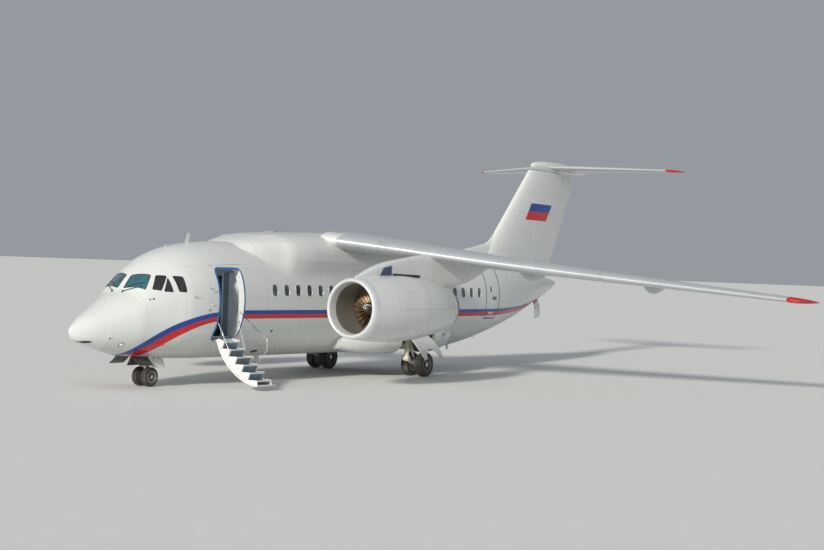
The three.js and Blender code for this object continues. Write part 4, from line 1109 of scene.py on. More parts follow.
@dataclass
class Hull:
    """The fuselage skin in the sections it is joined from, with its openings."""

    sides: int = 112
    doorway: tuple[float, float, float, float] = (4.18, 5.155, 1.39, 3.395)
    corner: float = 0.12
    room: tuple[float, float, float, float] = (3.95, 5.35, -1.7, 1.2)
    ceiling: float = 3.45
    wall: float = 0.215
    first_window: float = 6.57
    window_pitch: float = 0.548
    windows: int = 22
    window_height: float = 2.815
    rear_door: tuple[float, float, float, float] = (18.62, 19.58, 1.9, 3.78)

    def build(self) -> None:
        """Make every section with its cuts, then the doors and windows in them."""
        self.section("radome", 0.95 * np.linspace(0, 1, 22) ** 2, (), Finish.RADOME)
        self.section("nose_fuselage", np.linspace(0.9504, 3.85, 60), [self.pane_cuts(), self.nose_bay()],
                     Finish.SKIN)
        self.section("forward_fuselage", np.linspace(3.8504, 5.45, 30), [self.room_cut(), self.door_cut()],
                     Finish.SKIN, self.door_fittings())
        self.section("cabin_fuselage", np.linspace(5.4504, 16.8, 72),
                     [self.window_cuts(0, 19), self.main_bays()], Finish.SKIN)
        self.section("aft_fuselage", np.linspace(16.8004, 20.5, 44),
                     [self.window_cuts(19, self.windows), self.rear_door_cut()], Finish.SKIN)
        self.section("tail_cone", np.linspace(20.5004, 26.39, 52), [self.tail_bay()], Finish.SKIN)
        self.panes()
        self.cabin_windows()
        self.rear()

    def section(self, name: str, stations: Array, cutters: Sequence[bpy.types.Mesh], finish: Finish,
                extra: Shape | None = None) -> None:
        """One stretch of skin through its ovals, less its cutters."""
        rows = BODY.at(stations[:, None], evenly(self.sides)[None])
        mesh = Shape().grid(rows).mesh(name)
        for cutter in cutters:
            mesh = carve(mesh, cutter)
        YARD.publish(name, mesh, "airframe", (finish, Finish.BAY, Finish.PANEL, Finish.WHITE),
                     (name,), fair=BODY)
        if extra:
            YARD.publish(f"{name}_fittings", extra, "airframe", (Finish.POLISHED, Finish.WHITE),
                         angle=40)

    def pane_outlines(self) -> list[tuple[Array, Finish]]:
        """The panes of one side, in station and scaled ring angle."""
        out = []
        for corners, finish in ((FRONT_PANE, Finish.FRONT_GLASS), *((p, Finish.SIDE_GLASS) for p in SIDE_PANES)):
            flat = [BODY.ring_place(x, y, z) for x, z, y in corners]
            out.append((rounded(flat, 0.045, 0.06), finish))
        return out

    def pane_cuts(self) -> bpy.types.Mesh:
        """Pockets for the cockpit panes of both sides."""
        cut = Shape()
        for side, _ in SIDES:
            for outline, _ in self.pane_outlines():
                cut.pillow(BODY.on_ring(side), outline, 0.05, -0.028, 0)
        return cut.mesh("pane_cut")

    def panes(self) -> None:
        """Glass in its pockets, a dark seal round each pane, and the wipers."""
        glass, seals = {Finish.FRONT_GLASS: Shape(), Finish.SIDE_GLASS: Shape()}, Shape()
        for side, _ in SIDES:
            place = BODY.on_ring(side)
            for outline, finish in self.pane_outlines():
                middle = (outline.min(0) + outline.max(0)) / 2
                inner = middle + (outline - middle) * 0.985
                glass[finish].pillow(place, inner, -0.007, -0.026, 0, 8)
                seals.tube(place(inner[:, 0], inner[:, 1], -0.003), 0.008, 6, 0, True)
        YARD.publish("cockpit_glazing", glass[Finish.FRONT_GLASS], "airframe", (Finish.FRONT_GLASS,),
                     ("cockpit_glazing",), 40)
        YARD.publish("cockpit_side_panes", glass[Finish.SIDE_GLASS], "airframe", (Finish.SIDE_GLASS,),
                     (), 40)
        YARD.publish("cockpit_pane_seals", seals, "airframe", (Finish.SEAL,), (), 60)
        wipers = Shape()
        for side, _ in SIDES:
            place = BODY.on_ring(side)
            x0, q0 = BODY.ring_place(1.745, 0.2, 2.685)
            x1, q1 = BODY.ring_place(2.02, 0.62, 2.79)
            t = np.linspace(0, 1, 14)
            arm = place(x0 + (x1 - x0) * t, q0 + (q1 - q0) * t, 0.028)
            wipers.tube(arm, 0.009, 8).tube(place(x0 + 0.12 + (x1 - x0) * t, q0 + (q1 - q0) * t, 0.012), 0.007, 8)
            wipers.turned([[-0.05, 0.024], [0.012, 0.024], [0.02, 0.012], [0.02, 0]], arm[0], "z", 16)
        YARD.publish("cockpit_wipers", wipers, "airframe", (Finish.BLACK,), (), 50)

    def window_line(self, first: int, last: int) -> Iterable[tuple[int, float]]:
        """Side and station of each cabin window between two numbers."""
        return ((side, self.first_window + self.window_pitch * k)
                for side, _ in SIDES for k in range(first, last))

    def window_outline(self, x: float, size: float = 1.0) -> Array:
        """A cabin window's outline in station and height."""
        return squircle(0.128 * size, 0.178 * size, 3.0, 28) + (x, self.window_height)

    def window_cuts(self, first: int, last: int) -> bpy.types.Mesh:
        """Pockets for a run of cabin windows."""
        cut = Shape()
        for side, x in self.window_line(first, last):
            cut.pillow(BODY.on_side(side), self.window_outline(x), 0.03, -0.034, 3, 2)
        return cut.mesh("window_cut")

    def cabin_windows(self) -> None:
        """Glass in every window pocket, dark with painted shade of the unlit cabin, with a bright rim."""
        glass, rims = Shape(), Shape()
        for side, x in self.window_line(0, self.windows):
            place = BODY.on_side(side)
            glass.pillow(place, self.window_outline(x, 0.9), -0.018, -0.033, 0, 3)
            ring = self.window_outline(x, 0.97)
            rims.tube(place(ring[:, 0], ring[:, 1], -0.008), 0.012, 6, 0, True)
        YARD.publish("cabin_windows", glass, "airframe", (Finish.CABIN_GLASS,), (), 40)
        YARD.publish("cabin_window_rims", rims, "airframe", (Finish.SLAT,), (), 60)

    def door_outline(self, box: tuple[float, float, float, float], corner: float, shrink: float = 0.0) -> Array:
        """A doorway's outline with all its corners rounded."""
        x0, x1, z0, z1 = box
        s = shrink
        corners = [(x0 + s, z0 + s), (x1 - s, z0 + s), (x1 - s, z1 - s), (x0 + s, z1 - s)]
        return rounded(corners, corner, 0.1)

    def door_cut(self) -> bpy.types.Mesh:
        """The airstair's doorway, straight through the port wall."""
        x0, x1, z0, z1 = self.doorway
        outline = rounded([(x0, z0), (x1, z0), (x1, z1), (x0, z1)], (0, 0, self.corner, self.corner), 5)
        return Shape().plate(outline, -1.85, -1.1, "y", 3).mesh("doorway_cut")

    def room_cut(self) -> bpy.types.Mesh:
        """The vestibule: the inner oval, cut off by its floor, ceiling and end walls."""
        x0, x1, y0, y1 = self.room
        inside = Shape().grid(BODY.at(np.linspace(x0 - 0.05, x1 + 0.05, 10)[:, None], evenly(56)[None], -self.wall), 2)
        block = Shape().block((x0, y0, self.doorway[2]), (x1, y1, self.ceiling), 0, 2)
        return carve(inside.mesh("room"), block.mesh("room_block"), "INTERSECT")

    def door_fittings(self) -> Shape:
        """Hinge lugs, stay bosses and the bolts round the aft jamb."""
        out = Shape()
        for x in Airstair.barrels:
            for a, b in ((x - 0.04, x - 0.0004), (x + Airstair.barrel + 0.0004, x + Airstair.barrel + 0.04)):
                out.block((a, -1.438, 1.342), (b, -1.25, 1.378), 0.01, 0)
        for x, y, z, wall in ((4.21, -1.46, 2.02, 4.16), (5.115, -1.56, 2.17, 5.175)):
            face = x + math.copysign(0.0094, wall - x)
            out.turned([[min(wall, face), 0], [min(wall, face), 0.014], [max(wall, face), 0.014],
                        [max(wall, face), 0]], (0, y, z), "x", 16)
        heights = np.linspace(1.6, 3.2, 12)
        for z in heights:
            y = -float(BODY.side(np.array(5.15), np.array(z))) + 0.06
            out.turned([[5.143, 0], [5.143, 0.013], [5.156, 0.015], [5.156, 0]], (0, y, z), "x", 10, 0)
            out.turned([[5.143, 0], [5.143, 0.009], [5.156, 0.01], [5.156, 0]], (0, y + 0.12, z), "x", 10, 0)
        return out

    def nose_bay(self) -> bpy.types.Mesh:
        """The nose wheel's bay."""
        return Shape().block((2.05, -0.33, 0.3), (3.25, 0.33, 1.42), 0, 1).mesh("nose_bay")

    def main_bays(self) -> bpy.types.Mesh:
        """Both main wheel bays where they reach into the fuselage."""
        cut = Shape()
        for side, _ in SIDES:
            y = sorted((side * 0.95, side * 3.0))
            cut.block((12.45, y[0], 0.2), (14.3, y[1], 1.55), 0, 1)
        return cut.mesh("main_bays")

    def tail_bay(self) -> bpy.types.Mesh:
        """The access bay under the tail."""
        return Shape().block((23.4, -0.66, 1.5), (24.35, 0.66, 2.95), 0, 1).mesh("tail_bay")

    def rear_door_cut(self) -> bpy.types.Mesh:
        """The pocket that the rear door fills."""
        outline = self.door_outline(self.rear_door, 0.11)
        return Shape().pillow(BODY.on_side(-1), outline, 0.05, -0.05, 1, 12).mesh("rear_pocket")

    def rear(self) -> None:
        """The rear door, flush in its pocket, with its window and handle."""
        place = BODY.on_side(-1)
        door = Shape().pillow(place, self.door_outline(self.rear_door, 0.105, 0.007), 0.0, -0.046, 0, 14)
        window = squircle(0.075, 0.11, 2.6, 24) + (18.98, 2.95)
        cut = Shape().pillow(place, window, 0.03, -0.02, 0, 3).mesh("rear_window_cut")
        YARD.publish("rear_door", carve(door.mesh("rear_door"), cut), "airframe", (Finish.DOOR_SKIN,),
                     ("rear_door",), fair=BODY)
        middle = window.mean(0)
        glass = Shape().pillow(place, middle + (window - middle) * 0.9, -0.01, -0.02, 0, 3)
        YARD.publish("rear_door_window", glass, "airframe", (Finish.CABIN_GLASS,), (), 40)
        t = np.linspace(0, 1, 10)
        handle = Shape().tube(place(19.1 + 0.22 * t, 2.62 + 0 * t, 0.012 + 0.02 * 0), 0.012, 8)
        handle.pillow(place, squircle(0.15, 0.055, 4, 24) + (19.21, 2.62), 0.004, -0.002, 1, 2)
        YARD.publish("rear_door_handle", handle, "airframe", (Finish.POLISHED, Finish.SEAL), (), 50)


@dataclass
class Vestibule:
    """What is seen through the open doorway: floor, partitions, lockers, the lit ceiling and a dark panel painted as
    the shaded passage aft.
    """

    front: float = 3.95
    back: float = 5.35
    floor: float = 1.39

    def build(self) -> None:
        """Make the floor, the walls and their furniture."""
        floor = Shape().block((self.front + 0.02, -1.28, self.floor), (self.back - 0.02, 1.12, self.floor + 0.008), 0.03)
        YARD.publish("vestibule_floor", floor, "airframe", (Finish.CARPET,), (), 40, 0.003)
        sill = Shape()
        for y0, y1 in ((-1.325, -1.282), (-1.2, -1.16)):
            sill.block((4.2, y0, self.floor + 0.001), (5.14, y1, self.floor + 0.011), 0.004)
        YARD.publish("doorway_sill", sill, "airframe", (Finish.SILL,), (), 40, 0.003)
        walls = Shape()
        walls.block((self.back - 0.07, -1.28, self.floor), (self.back - 0.012, -0.93, 3.3), 0.03, 0)
        walls.block((self.back - 0.05, -0.925, self.floor), (self.back - 0.012, -0.7, 3.3), 0.012, 2)
        walls.block((self.back - 0.09, -0.72, self.floor), (self.back - 0.012, -0.68, 3.3), 0.015, 0)
        # Painted shade: this dark panel stands in for the unlit passage aft into the cabin.
        walls.block((self.back - 0.03, -0.67, self.floor), (self.back - 0.01, 0.3, 3.2), 0.006, 1)
        walls.block((self.back - 0.05, 0.32, self.floor), (self.back - 0.012, 1.1, 3.2), 0.012, 0)
        walls.block((self.front + 0.012, -1.2, self.floor), (self.front + 0.04, -0.35, 3.2), 0.012, 0)
        walls.block((self.front + 0.012, -0.32, self.floor), (self.front + 0.03, 0.32, 3.25), 0.006, 0)
        walls.block((self.front + 0.012, 0.35, self.floor), (self.front + 0.04, 1.1, 3.2), 0.012, 0)
        YARD.publish("vestibule_partitions", walls, "airframe", (Finish.PANEL, Finish.PASSAGE_SHADE, Finish.CARPET),
                     (), 40, 0.004)
        galley = Shape()
        for x in (4.05, 4.5, 4.95):
            galley.block((x, 0.82, self.floor + 0.02), (x + 0.42, 1.12, 2.3), 0.01, 0)
            galley.block((x, 0.9, 2.36), (x + 0.42, 1.1, 3.1), 0.01, 0)
            for z in (2.1, 2.62):
                galley.turned([[0, 0.008], [0.2, 0.008]], (x + 0.11, 0.81 if z < 2.3 else 0.89, z), "x", 8, 1)
        YARD.publish("vestibule_lockers", galley, "airframe", (Finish.PANEL, Finish.POLISHED), (), 40, 0.004)
        lamp = Shape().block((4.3, -0.5, 3.435), (5.0, 0.4, 3.449), 0.05)
        YARD.publish("vestibule_lamp", lamp, "airframe", (Finish.CLEAR_LENS,), (), 40, 0.003)


@dataclass
class Airstair:
    """The door that opens into a stair: curved panel, toothed cheeks, folded steps and stays."""

    barrels = (4.33, 4.64)
    barrel = 0.15
    hinge: tuple[float, float] = (-1.42, 1.36)
    opening: float = 127.0
    span: tuple[float, float] = (4.195, 5.14)
    reach: tuple[float, float] = (1.405, 3.38)
    skin: float = 0.04
    corner: float = 0.12
    cheeks: tuple[float, float] = (4.24, 4.85)
    cheek: float = 0.03
    count: int = 6
    first: tuple[float, float] = (-1.78, 1.33)
    run: float = 0.25
    rise: float = 0.205
    undercut: float = 0.08

    def build(self) -> None:
        """Make the shell, the steps and the stays."""
        self.shell()
        self.steps()
        self.stays()

    def turn(self) -> Matrix:
        """The opening's turn about the hinge line."""
        y, z = self.hinge
        return (Matrix.Translation((0, y, z)) @ Matrix.Rotation(math.radians(self.opening), 4, "X")
                @ Matrix.Translation((0, -y, -z)))

    def panel_line(self, inset: float, count: int = 24) -> Array:
        """The open panel's curve in y and z: the skin's own section turned about the hinge."""
        z = np.linspace(*self.reach, count)
        y = -BODY.side(np.full(count, 4.6), z) + inset
        angle = math.radians(self.opening)
        dy, dz = y - self.hinge[0], z - self.hinge[1]
        return np.stack([self.hinge[0] + dy * math.cos(angle) - dz * math.sin(angle),
                         self.hinge[1] + dy * math.sin(angle) + dz * math.cos(angle)], -1)

    def teeth(self, shift: float) -> Array:
        """The steps' saw line: each tread runs out to its nosing, then slants back under it."""
        k = np.arange(self.count)
        y, z = self.first[0] - self.run * k, self.first[1] - self.rise * k + shift
        start = np.stack([y + self.run + self.undercut, z], -1)
        return np.stack([start, np.stack([y, z], -1)], 1).reshape(-1, 2)[1:]

    def shell(self) -> None:
        """Panel, cheeks, hinge knuckles with their arms, and the handrail."""
        place = self.section_place()
        x0, x1 = self.span
        z0, z1 = self.reach
        outline = rounded([(x0, z0), (x1, z0), (x1, z1), (x0, z1)], (0.02, 0.02, self.corner, self.corner), 0.08)
        panel = Shape().pillow(place, outline, 0.0, -self.skin, 0, 14).moved(self.turn())
        inner = rounded([(x0 + 0.012, z0 + 0.02), (x1 - 0.012, z0 + 0.02), (x1 - 0.012, z1 - 0.012),
                         (x0 + 0.012, z1 - 0.012)], (0.02, 0.02, self.corner, self.corner), 0.08)
        rim = Shape().tube(place(inner[:, 0], inner[:, 1], -self.skin), 0.008, 8, 1, True).moved(self.turn())
        YARD.publish("airstair_shell", panel, "airstair", (Finish.STAIR,),
                     ("airstair_shell",), 35)
        stripe = Shape()
        x = np.linspace(x0 + 0.004, x1 - 0.004, 12)
        low, middle, top = (level - np.maximum(5.2 - x, 0) ** 2 * a for level, a, *_ in STRIPE)
        for slot, (under, over) in enumerate(((low, middle), (middle, top))):
            band = np.concatenate([np.stack([x, under], -1), np.stack([x, over], -1)[::-1]])
            stripe.pillow(place, band, 0.0012, -0.0012, slot, 6)
        YARD.publish("airstair_stripe", stripe.moved(self.turn()), "airstair", (Finish.RED, Finish.BLUE),
                     (), 35)
        cheeks = Shape()
        line = self.panel_line(self.skin - 0.002)
        for x in self.cheeks:
            teeth = self.teeth(0.015)[::-1]
            edge = np.concatenate([line, split(teeth, 5)])
            cheeks.plate(edge, x, x + self.cheek, "x")
        YARD.publish("airstair_cheeks", cheeks, "airstair", (Finish.STAIR,), (), 30, 0.004)
        fittings = rim
        y, z = self.hinge
        start = self.panel_line(self.skin)[2]
        for x in self.barrels:
            fittings.turned([[0, 0.008], [0, 0.019], [0.004, 0.02], [self.barrel - 0.004, 0.02],
                             [self.barrel, 0.019], [self.barrel, 0.008]], (x, y, z), "x", 24, 1)
            arm = np.linspace((x + self.barrel / 2, y, z), (x + self.barrel / 2, *start), 8)
            fittings.tube(arm, 0.015, 12, 1)
        for x in (self.span[0] + 0.022, self.cheeks[0] - 0.012, self.cheeks[1] + self.cheek + 0.03,
                  self.span[1] - 0.03):
            for row in self.panel_line(self.skin - 0.001, 34)[1:-2]:
                fittings.turned([[0, 0.0065], [0.005, 0.005], [0.005, 0]], (x, *row), "z", 6, 1)
        YARD.publish("airstair_fittings", fittings, "airstair", (Finish.STAIR, Finish.POLISHED),
                     (), 50)
        x = self.cheeks[1] + self.cheek / 2
        corners = np.array([(x, -2.46, 0.69), (x, -2.84, 1.14), (x, -2.83, 1.45), (x, -2.6, 1.562)])
        rail = Shape().tube(bent(corners, 0.07), 0.0125, 14)
        YARD.publish("airstair_handrail", rail, "airstair", (Finish.POLISHED,), (), 50)

    def section_place(self) -> Place:
        """A map from station and height to the door's own section, the same at every station."""
        def place(x: Array, z: Array, lift: float) -> Array:
            """The section's point, pushed out square to it by the lift."""
            x, z = np.broadcast_arrays(x, z)
            middle = np.full(z.shape, 4.6)
            points = np.stack([middle, -BODY.side(middle, z), z], -1)
            out = points + lift * BODY.normal(points)
            return np.stack([x, out[..., 1], out[..., 2]], -1)
        return place

    def steps(self) -> None:
        """The folded tread plate, with a nosing bar and a grip mat on every tread."""
        top = self.teeth(0.0)
        thick = 0.022
        landing = np.array([[top[0, 0] + self.run - 0.06, top[0, 1]]])
        line = np.concatenate([landing, top])
        under = line + (thick, -thick)
        under[0] = landing[0] - (0, thick)
        outline = np.concatenate([line, under[::-1]])
        x0, x1 = self.cheeks[0] + self.cheek + 0.0004, self.cheeks[1] - 0.0004
        plate = Shape().plate(outline, x0, x1, "x", 0)
        YARD.publish("airstair_steps", plate, "airstair", (Finish.TREAD,), ("airstair_steps",), 30, 0.002)
        bars = Shape()
        for k in range(self.count):
            y, z = self.first[0] - self.run * k, self.first[1] - self.rise * k
            bars.block((x0 + 0.01, y - 0.006, z - 0.03), (x1 - 0.01, y + 0.034, z + 0.005), 0.004, 0)
        YARD.publish("airstair_nosings", bars, "airstair", (Finish.STAIR,), (), 30, 0.003)

    def stays(self) -> None:
        """The two stays with their end fittings."""
        rods = (("front", (4.21, -1.46, 2.02), (4.21, -1.99, 1.09), Finish.STAIR),
                ("back", (5.115, -1.56, 2.17), (4.905, -2.578, 1.574), Finish.STRUT_AND_SHADE))
        for name, pivot, end, finish in rods:
            path = np.linspace(pivot, end, 12)
            radius = np.where(np.arange(12) % 11 == 0, 0.006, 0.009)
            rod = Shape().tube(path, radius, 12, 0)
            rod.tube(np.linspace(path[5], path[6], 4), 0.013, 12, 1)
            rod.tube(np.linspace(path[-2], path[-1] + (path[-1] - path[-2]) * 0.05, 4), 0.012, 12, 1)
            if name == "front":
                twin = np.linspace((5.1, *pivot[1:]), (4.905, *end[1:]), 12)
                rod.tube(twin, 0.0085, 12, 0).tube(twin[5:7], 0.012, 12, 1)
            YARD.publish(f"airstair_stay_{name}", rod, f"stay_{name}", (finish, Finish.POLISHED),
                         (f"airstair_stay_{name}",), 40)


def bent(corners: Array, radius: float) -> Array:
    """A path whose corners are rounded: (1-t)^2 a + 2t(1-t) c + t^2 b at each inner corner c."""
    t = np.linspace(0, 1, 7)[:, None]
    out = [corners[:1]]
    for before, corner, after in zip(corners, corners[1:], corners[2:]):
        a = corner + (before - corner) * (radius / np.linalg.norm(before - corner))
        b = corner + (after - corner) * (radius / np.linalg.norm(after - corner))
        out.append((1 - t) ** 2 * a + 2 * t * (1 - t) * corner + t ** 2 * b)
    return split(np.concatenate([*out, corners[-1:]]), 0.2)


# Wing, fairings and engines

def blade(chord_points: Array, camber: Array | float, thick: float, chord: float) -> tuple[Array, Array]:
    """A wing section's middle line and half thickness at fractions t of the chord.

    The half thickness is 5 th (0.2969 sqrt t - 0.126 t - 0.3516 t^2 + 0.2843 t^3 - 0.1036 t^4) chord,
    and the middle line 4 camber t (1 - t) chord.
    """
    t = chord_points
    half = 5 * thick * (0.2969 * np.sqrt(t) - 0.126 * t - 0.3516 * t ** 2 + 0.2843 * t ** 3 - 0.1036 * t ** 4)
    return 4 * camber * t * (1 - t) * chord, half * chord


def section_loop(start: float, end: float, place: Callable[[Array, int], Array], count: int = 26) -> Array:
    """A closed loop over the top of a section from its end to its start and back below.

    Args:
        start: Where it starts on the chord, 0 for the leading edge.
        end: Where it ends.
        place: Gives the points of chord fractions on one face, 1 for the top and -1 for below.
        count: Points on one face.

    Returns:
        The loop's points.
    """
    if start > 0:
        t = start + (end - start) * (1 - np.cos(np.linspace(0, math.pi, count))) / 2
        return np.concatenate([place(t[::-1], 1), place(t, -1)])
    t = end * (1 - np.cos(np.linspace(0, math.pi / 2, count)))
    return np.concatenate([place(t[::-1], 1), place(t[1:], -1)])


@dataclass
class Wing:
    """The high wing: panels, leading edges, flaps, ailerons, tips and what is fixed to them."""

    root: float = 1.7
    tip: float = 14.455
    lead: float = 9.25
    sweep: float = 27.8
    root_chord: float = 4.6
    tip_chord: float = 1.5
    camber: float = 0.012
    incidence: float = 2.5
    start: float = 1.45
    panel: float = 1.76
    flap: float = 9.9
    aileron: float = 13.7
    tip_start: float = 14.0
    slat_end: float = 0.1
    flap_start: float = 0.72
    gap: float = 0.0004
    lead_heights = Curve((0, 1.7, 6.0, 14.455), (4.55, 4.39, 3.88, 3.03))
    fairings = ((6.1, 13.33, 15.45, 0.295), (9.75, 14.8, 16.5, 0.25))

    def build(self) -> None:
        """Make the five pieces of each wing with their fittings."""
        for side, name in SIDES:
            self.piece(f"wing_{name}", side, (self.start, self.tip_start - self.gap), 40,
                       (self.slat_end + self.gap / 4, self.flap_start - self.gap), "wing_grey", Finish.WING)
            self.piece(f"slat_{name}", side, (self.panel, self.tip_start - self.gap), 40,
                       (0, self.slat_end), "polished_metal", Finish.SLAT)
            self.piece(f"flap_{name}", side, (self.panel, self.flap - 0.004), 24,
                       (self.flap_start + 0.001, 1), "wing_grey", Finish.WING)
            self.piece(f"aileron_{name}", side, (self.flap + 0.004, self.aileron - 0.004), 14,
                       (self.flap_start + 0.001, 1), "wing_grey", Finish.WING)
            self.closing(side, name)
            self.glove(side, name)
            self.wing_tip(side, name)
            self.tracks(side, name)
            self.fittings(side, name)

    def place(self, side: int, y: Array, t: Array, face: int | Array) -> Array:
        """The point at a distance out, a chord fraction and a face of the wing."""
        part = np.clip(y / self.tip, 0, 1)
        chord = self.root_chord + (self.tip_chord - self.root_chord) * (y - self.root) / (self.tip - self.root)
        chord = np.where(y < self.root, self.root_chord, chord)
        lead = self.lead + np.maximum(y - self.root, 0) * math.tan(math.radians(self.sweep))
        middle, half = blade(t, self.camber, 0.135 + (0.11 - 0.135) * part, chord)
        z = self.lead_heights(y) + middle + face * (half + 0.002) - math.tan(math.radians(self.incidence)) * chord * t
        return np.stack(np.broadcast_arrays(lead + chord * t, side * y, z), -1)

    def loops(self, side: int, span: tuple[float, float], rows: int, chord: tuple[float, float]) -> Array:
        """Section loops along a stretch of the span."""
        ys = np.linspace(*span, rows)
        loop = [section_loop(*chord, lambda t, face, y=y: self.place(side, np.full(len(t), y), t, face)) for y in ys]
        return np.array(loop)

    def piece(self, name: str, side: int, span: tuple[float, float], rows: int, chord: tuple[float, float],
              slot: str, finish: Finish) -> None:
        """One piece of the wing between two distances out and two chord fractions."""
        shape = Shape().grid(self.loops(side, span, rows, chord))
        YARD.publish(name, shape, "airframe", (finish,), (name,), 40)

    def closing(self, side: int, name: str) -> None:
        """The wing's fixed rear stretch outboard of the aileron."""
        shape = Shape().grid(self.loops(side, (self.aileron + 0.004, self.tip_start - self.gap), 5,
                                        (self.flap_start + 0.001, 1)))
        YARD.publish(f"wing_rear_{name}", shape, "airframe", (Finish.WING,), (), 40)

    def glove(self, side: int, name: str) -> None:
        """The painted stretch of leading edge that runs from the slat into the saddle."""
        shape = Shape().grid(self.loops(side, (1.15, self.panel - self.gap), 10, (0, self.slat_end + self.gap / 4)))
        YARD.publish(f"wing_glove_{name}", shape, "airframe", (Finish.WHITE,), (), 40)

    def wing_tip(self, side: int, name: str) -> None:
        """The rounded tip: the chord and the thickness close in along a quarter ellipse."""
        rise = np.linspace(0, math.pi / 2, 18)
        ys = self.tip_start + (self.tip - self.tip_start) * np.sin(rise)
        rows = []
        for y, angle in zip(ys, rise):
            size = math.cos(angle) ** 0.6
            loop = section_loop(0, 1, lambda t, face, y=y: self.place(side, np.full(len(t), y), t, face), 30)
            middle = loop.mean(0)
            back = loop[:, :1].max()
            scaled = middle + (loop - middle) * (1, 1, max(size, 1e-9))
            scaled[:, 0] = back - (back - loop[:, 0]) * (0.35 + 0.65 * math.cos(angle) ** 0.8)
            rows.append(scaled)
        rows[-1] = np.broadcast_to(rows[-1].mean(0), rows[-1].shape)
        shape = Shape().grid(np.array(rows))
        YARD.publish(f"wing_tip_{name}", shape, "airframe", (Finish.RED,), (f"wing_tip_{name}",), 40)

    def tracks(self, side: int, name: str) -> None:
        """The flap track fairings: slim pods that hang below the wing and run past its edge."""
        pods = Shape()
        for y, start, end, depth in self.fairings:
            t = (1 - np.cos(np.linspace(0, math.pi, 30))) / 2
            x = start + (end - start) * t
            size = np.where(t < 0.4, np.sin(np.minimum(t / 0.4, 1) * math.pi / 2) ** 0.7,
                            np.cos(np.maximum(t - 0.4, 0) / 0.6 * math.pi / 2) ** 0.9)
            chord = self.root_chord + (self.tip_chord - self.root_chord) * (y - self.root) / (self.tip - self.root)
            lead = self.lead + (y - self.root) * math.tan(math.radians(self.sweep))
            part = np.clip((x - lead) / chord, 0, 1)
            under = self.place(side, np.full(len(x), y), part, -1)[:, 2]
            angle = evenly(28)
            across = 0.125 * size[:, None] * power(np.cos(angle), 0.85)
            up = np.where(np.sin(angle) > 0, 0.05, depth) * size[:, None] * power(np.sin(angle), 0.9)
            rows = np.stack([np.broadcast_to(x[:, None], across.shape), side * y + across,
                             under[:, None] - 0.02 + up], -1)
            rows[0], rows[-1] = rows[0].mean(0), rows[-1].mean(0)
            pods.grid(rows)
        YARD.publish(f"flap_tracks_{name}", pods, "airframe", (Finish.WING,), (), 50)

    def fittings(self, side: int, name: str) -> None:
        """The tip's lamp, the static wicks and the fuel panel rings below the wing."""
        lamp = Shape()
        ys = 14.06 + 0.3 * np.linspace(0, 1, 8)
        lens = self.place(side, ys, np.full(8, 0.02), 0) + (0, 0, 0.004)
        lamp.tube(lens, 0.026 * np.sin(np.linspace(0.5, math.pi - 0.5, 8)), 12)
        finish = Finish.RED_LENS if side < 0 else Finish.GREEN_LENS
        YARD.publish(f"tip_lamp_{name}", lamp, "airframe", (finish,), (), 60)
        wicks = Shape()
        for y in (8.2, 9.2, 10.4, 11.4, 12.4, 13.3, 14.05):
            edge = self.place(side, np.array([y]), np.array([1.0]), 0)[0]
            end = edge + (0.16, 0, -0.004)
            wicks.tube(np.linspace(edge - (0.02, 0, 0), end, 4), np.array([0.006, 0.004, 0.003, 0.0035]), 6)
        YARD.publish(f"wing_wicks_{name}", wicks, "airframe", (Finish.BLACK,), (), 60)
        caps = Shape()
        for y, t in ((3.4, 0.35), (5.2, 0.35), (7.1, 0.36), (8.9, 0.36), (10.9, 0.38)):
            centre = self.place(side, np.array([y]), np.array([t]), -1)[0]
            caps.turned([[-0.006, 0], [-0.006, 0.16], [0.006, 0.175], [0.006, 0]], centre, "z", 32)
        YARD.publish(f"wing_caps_{name}", caps, "airframe", (Finish.WING,), (), 40)


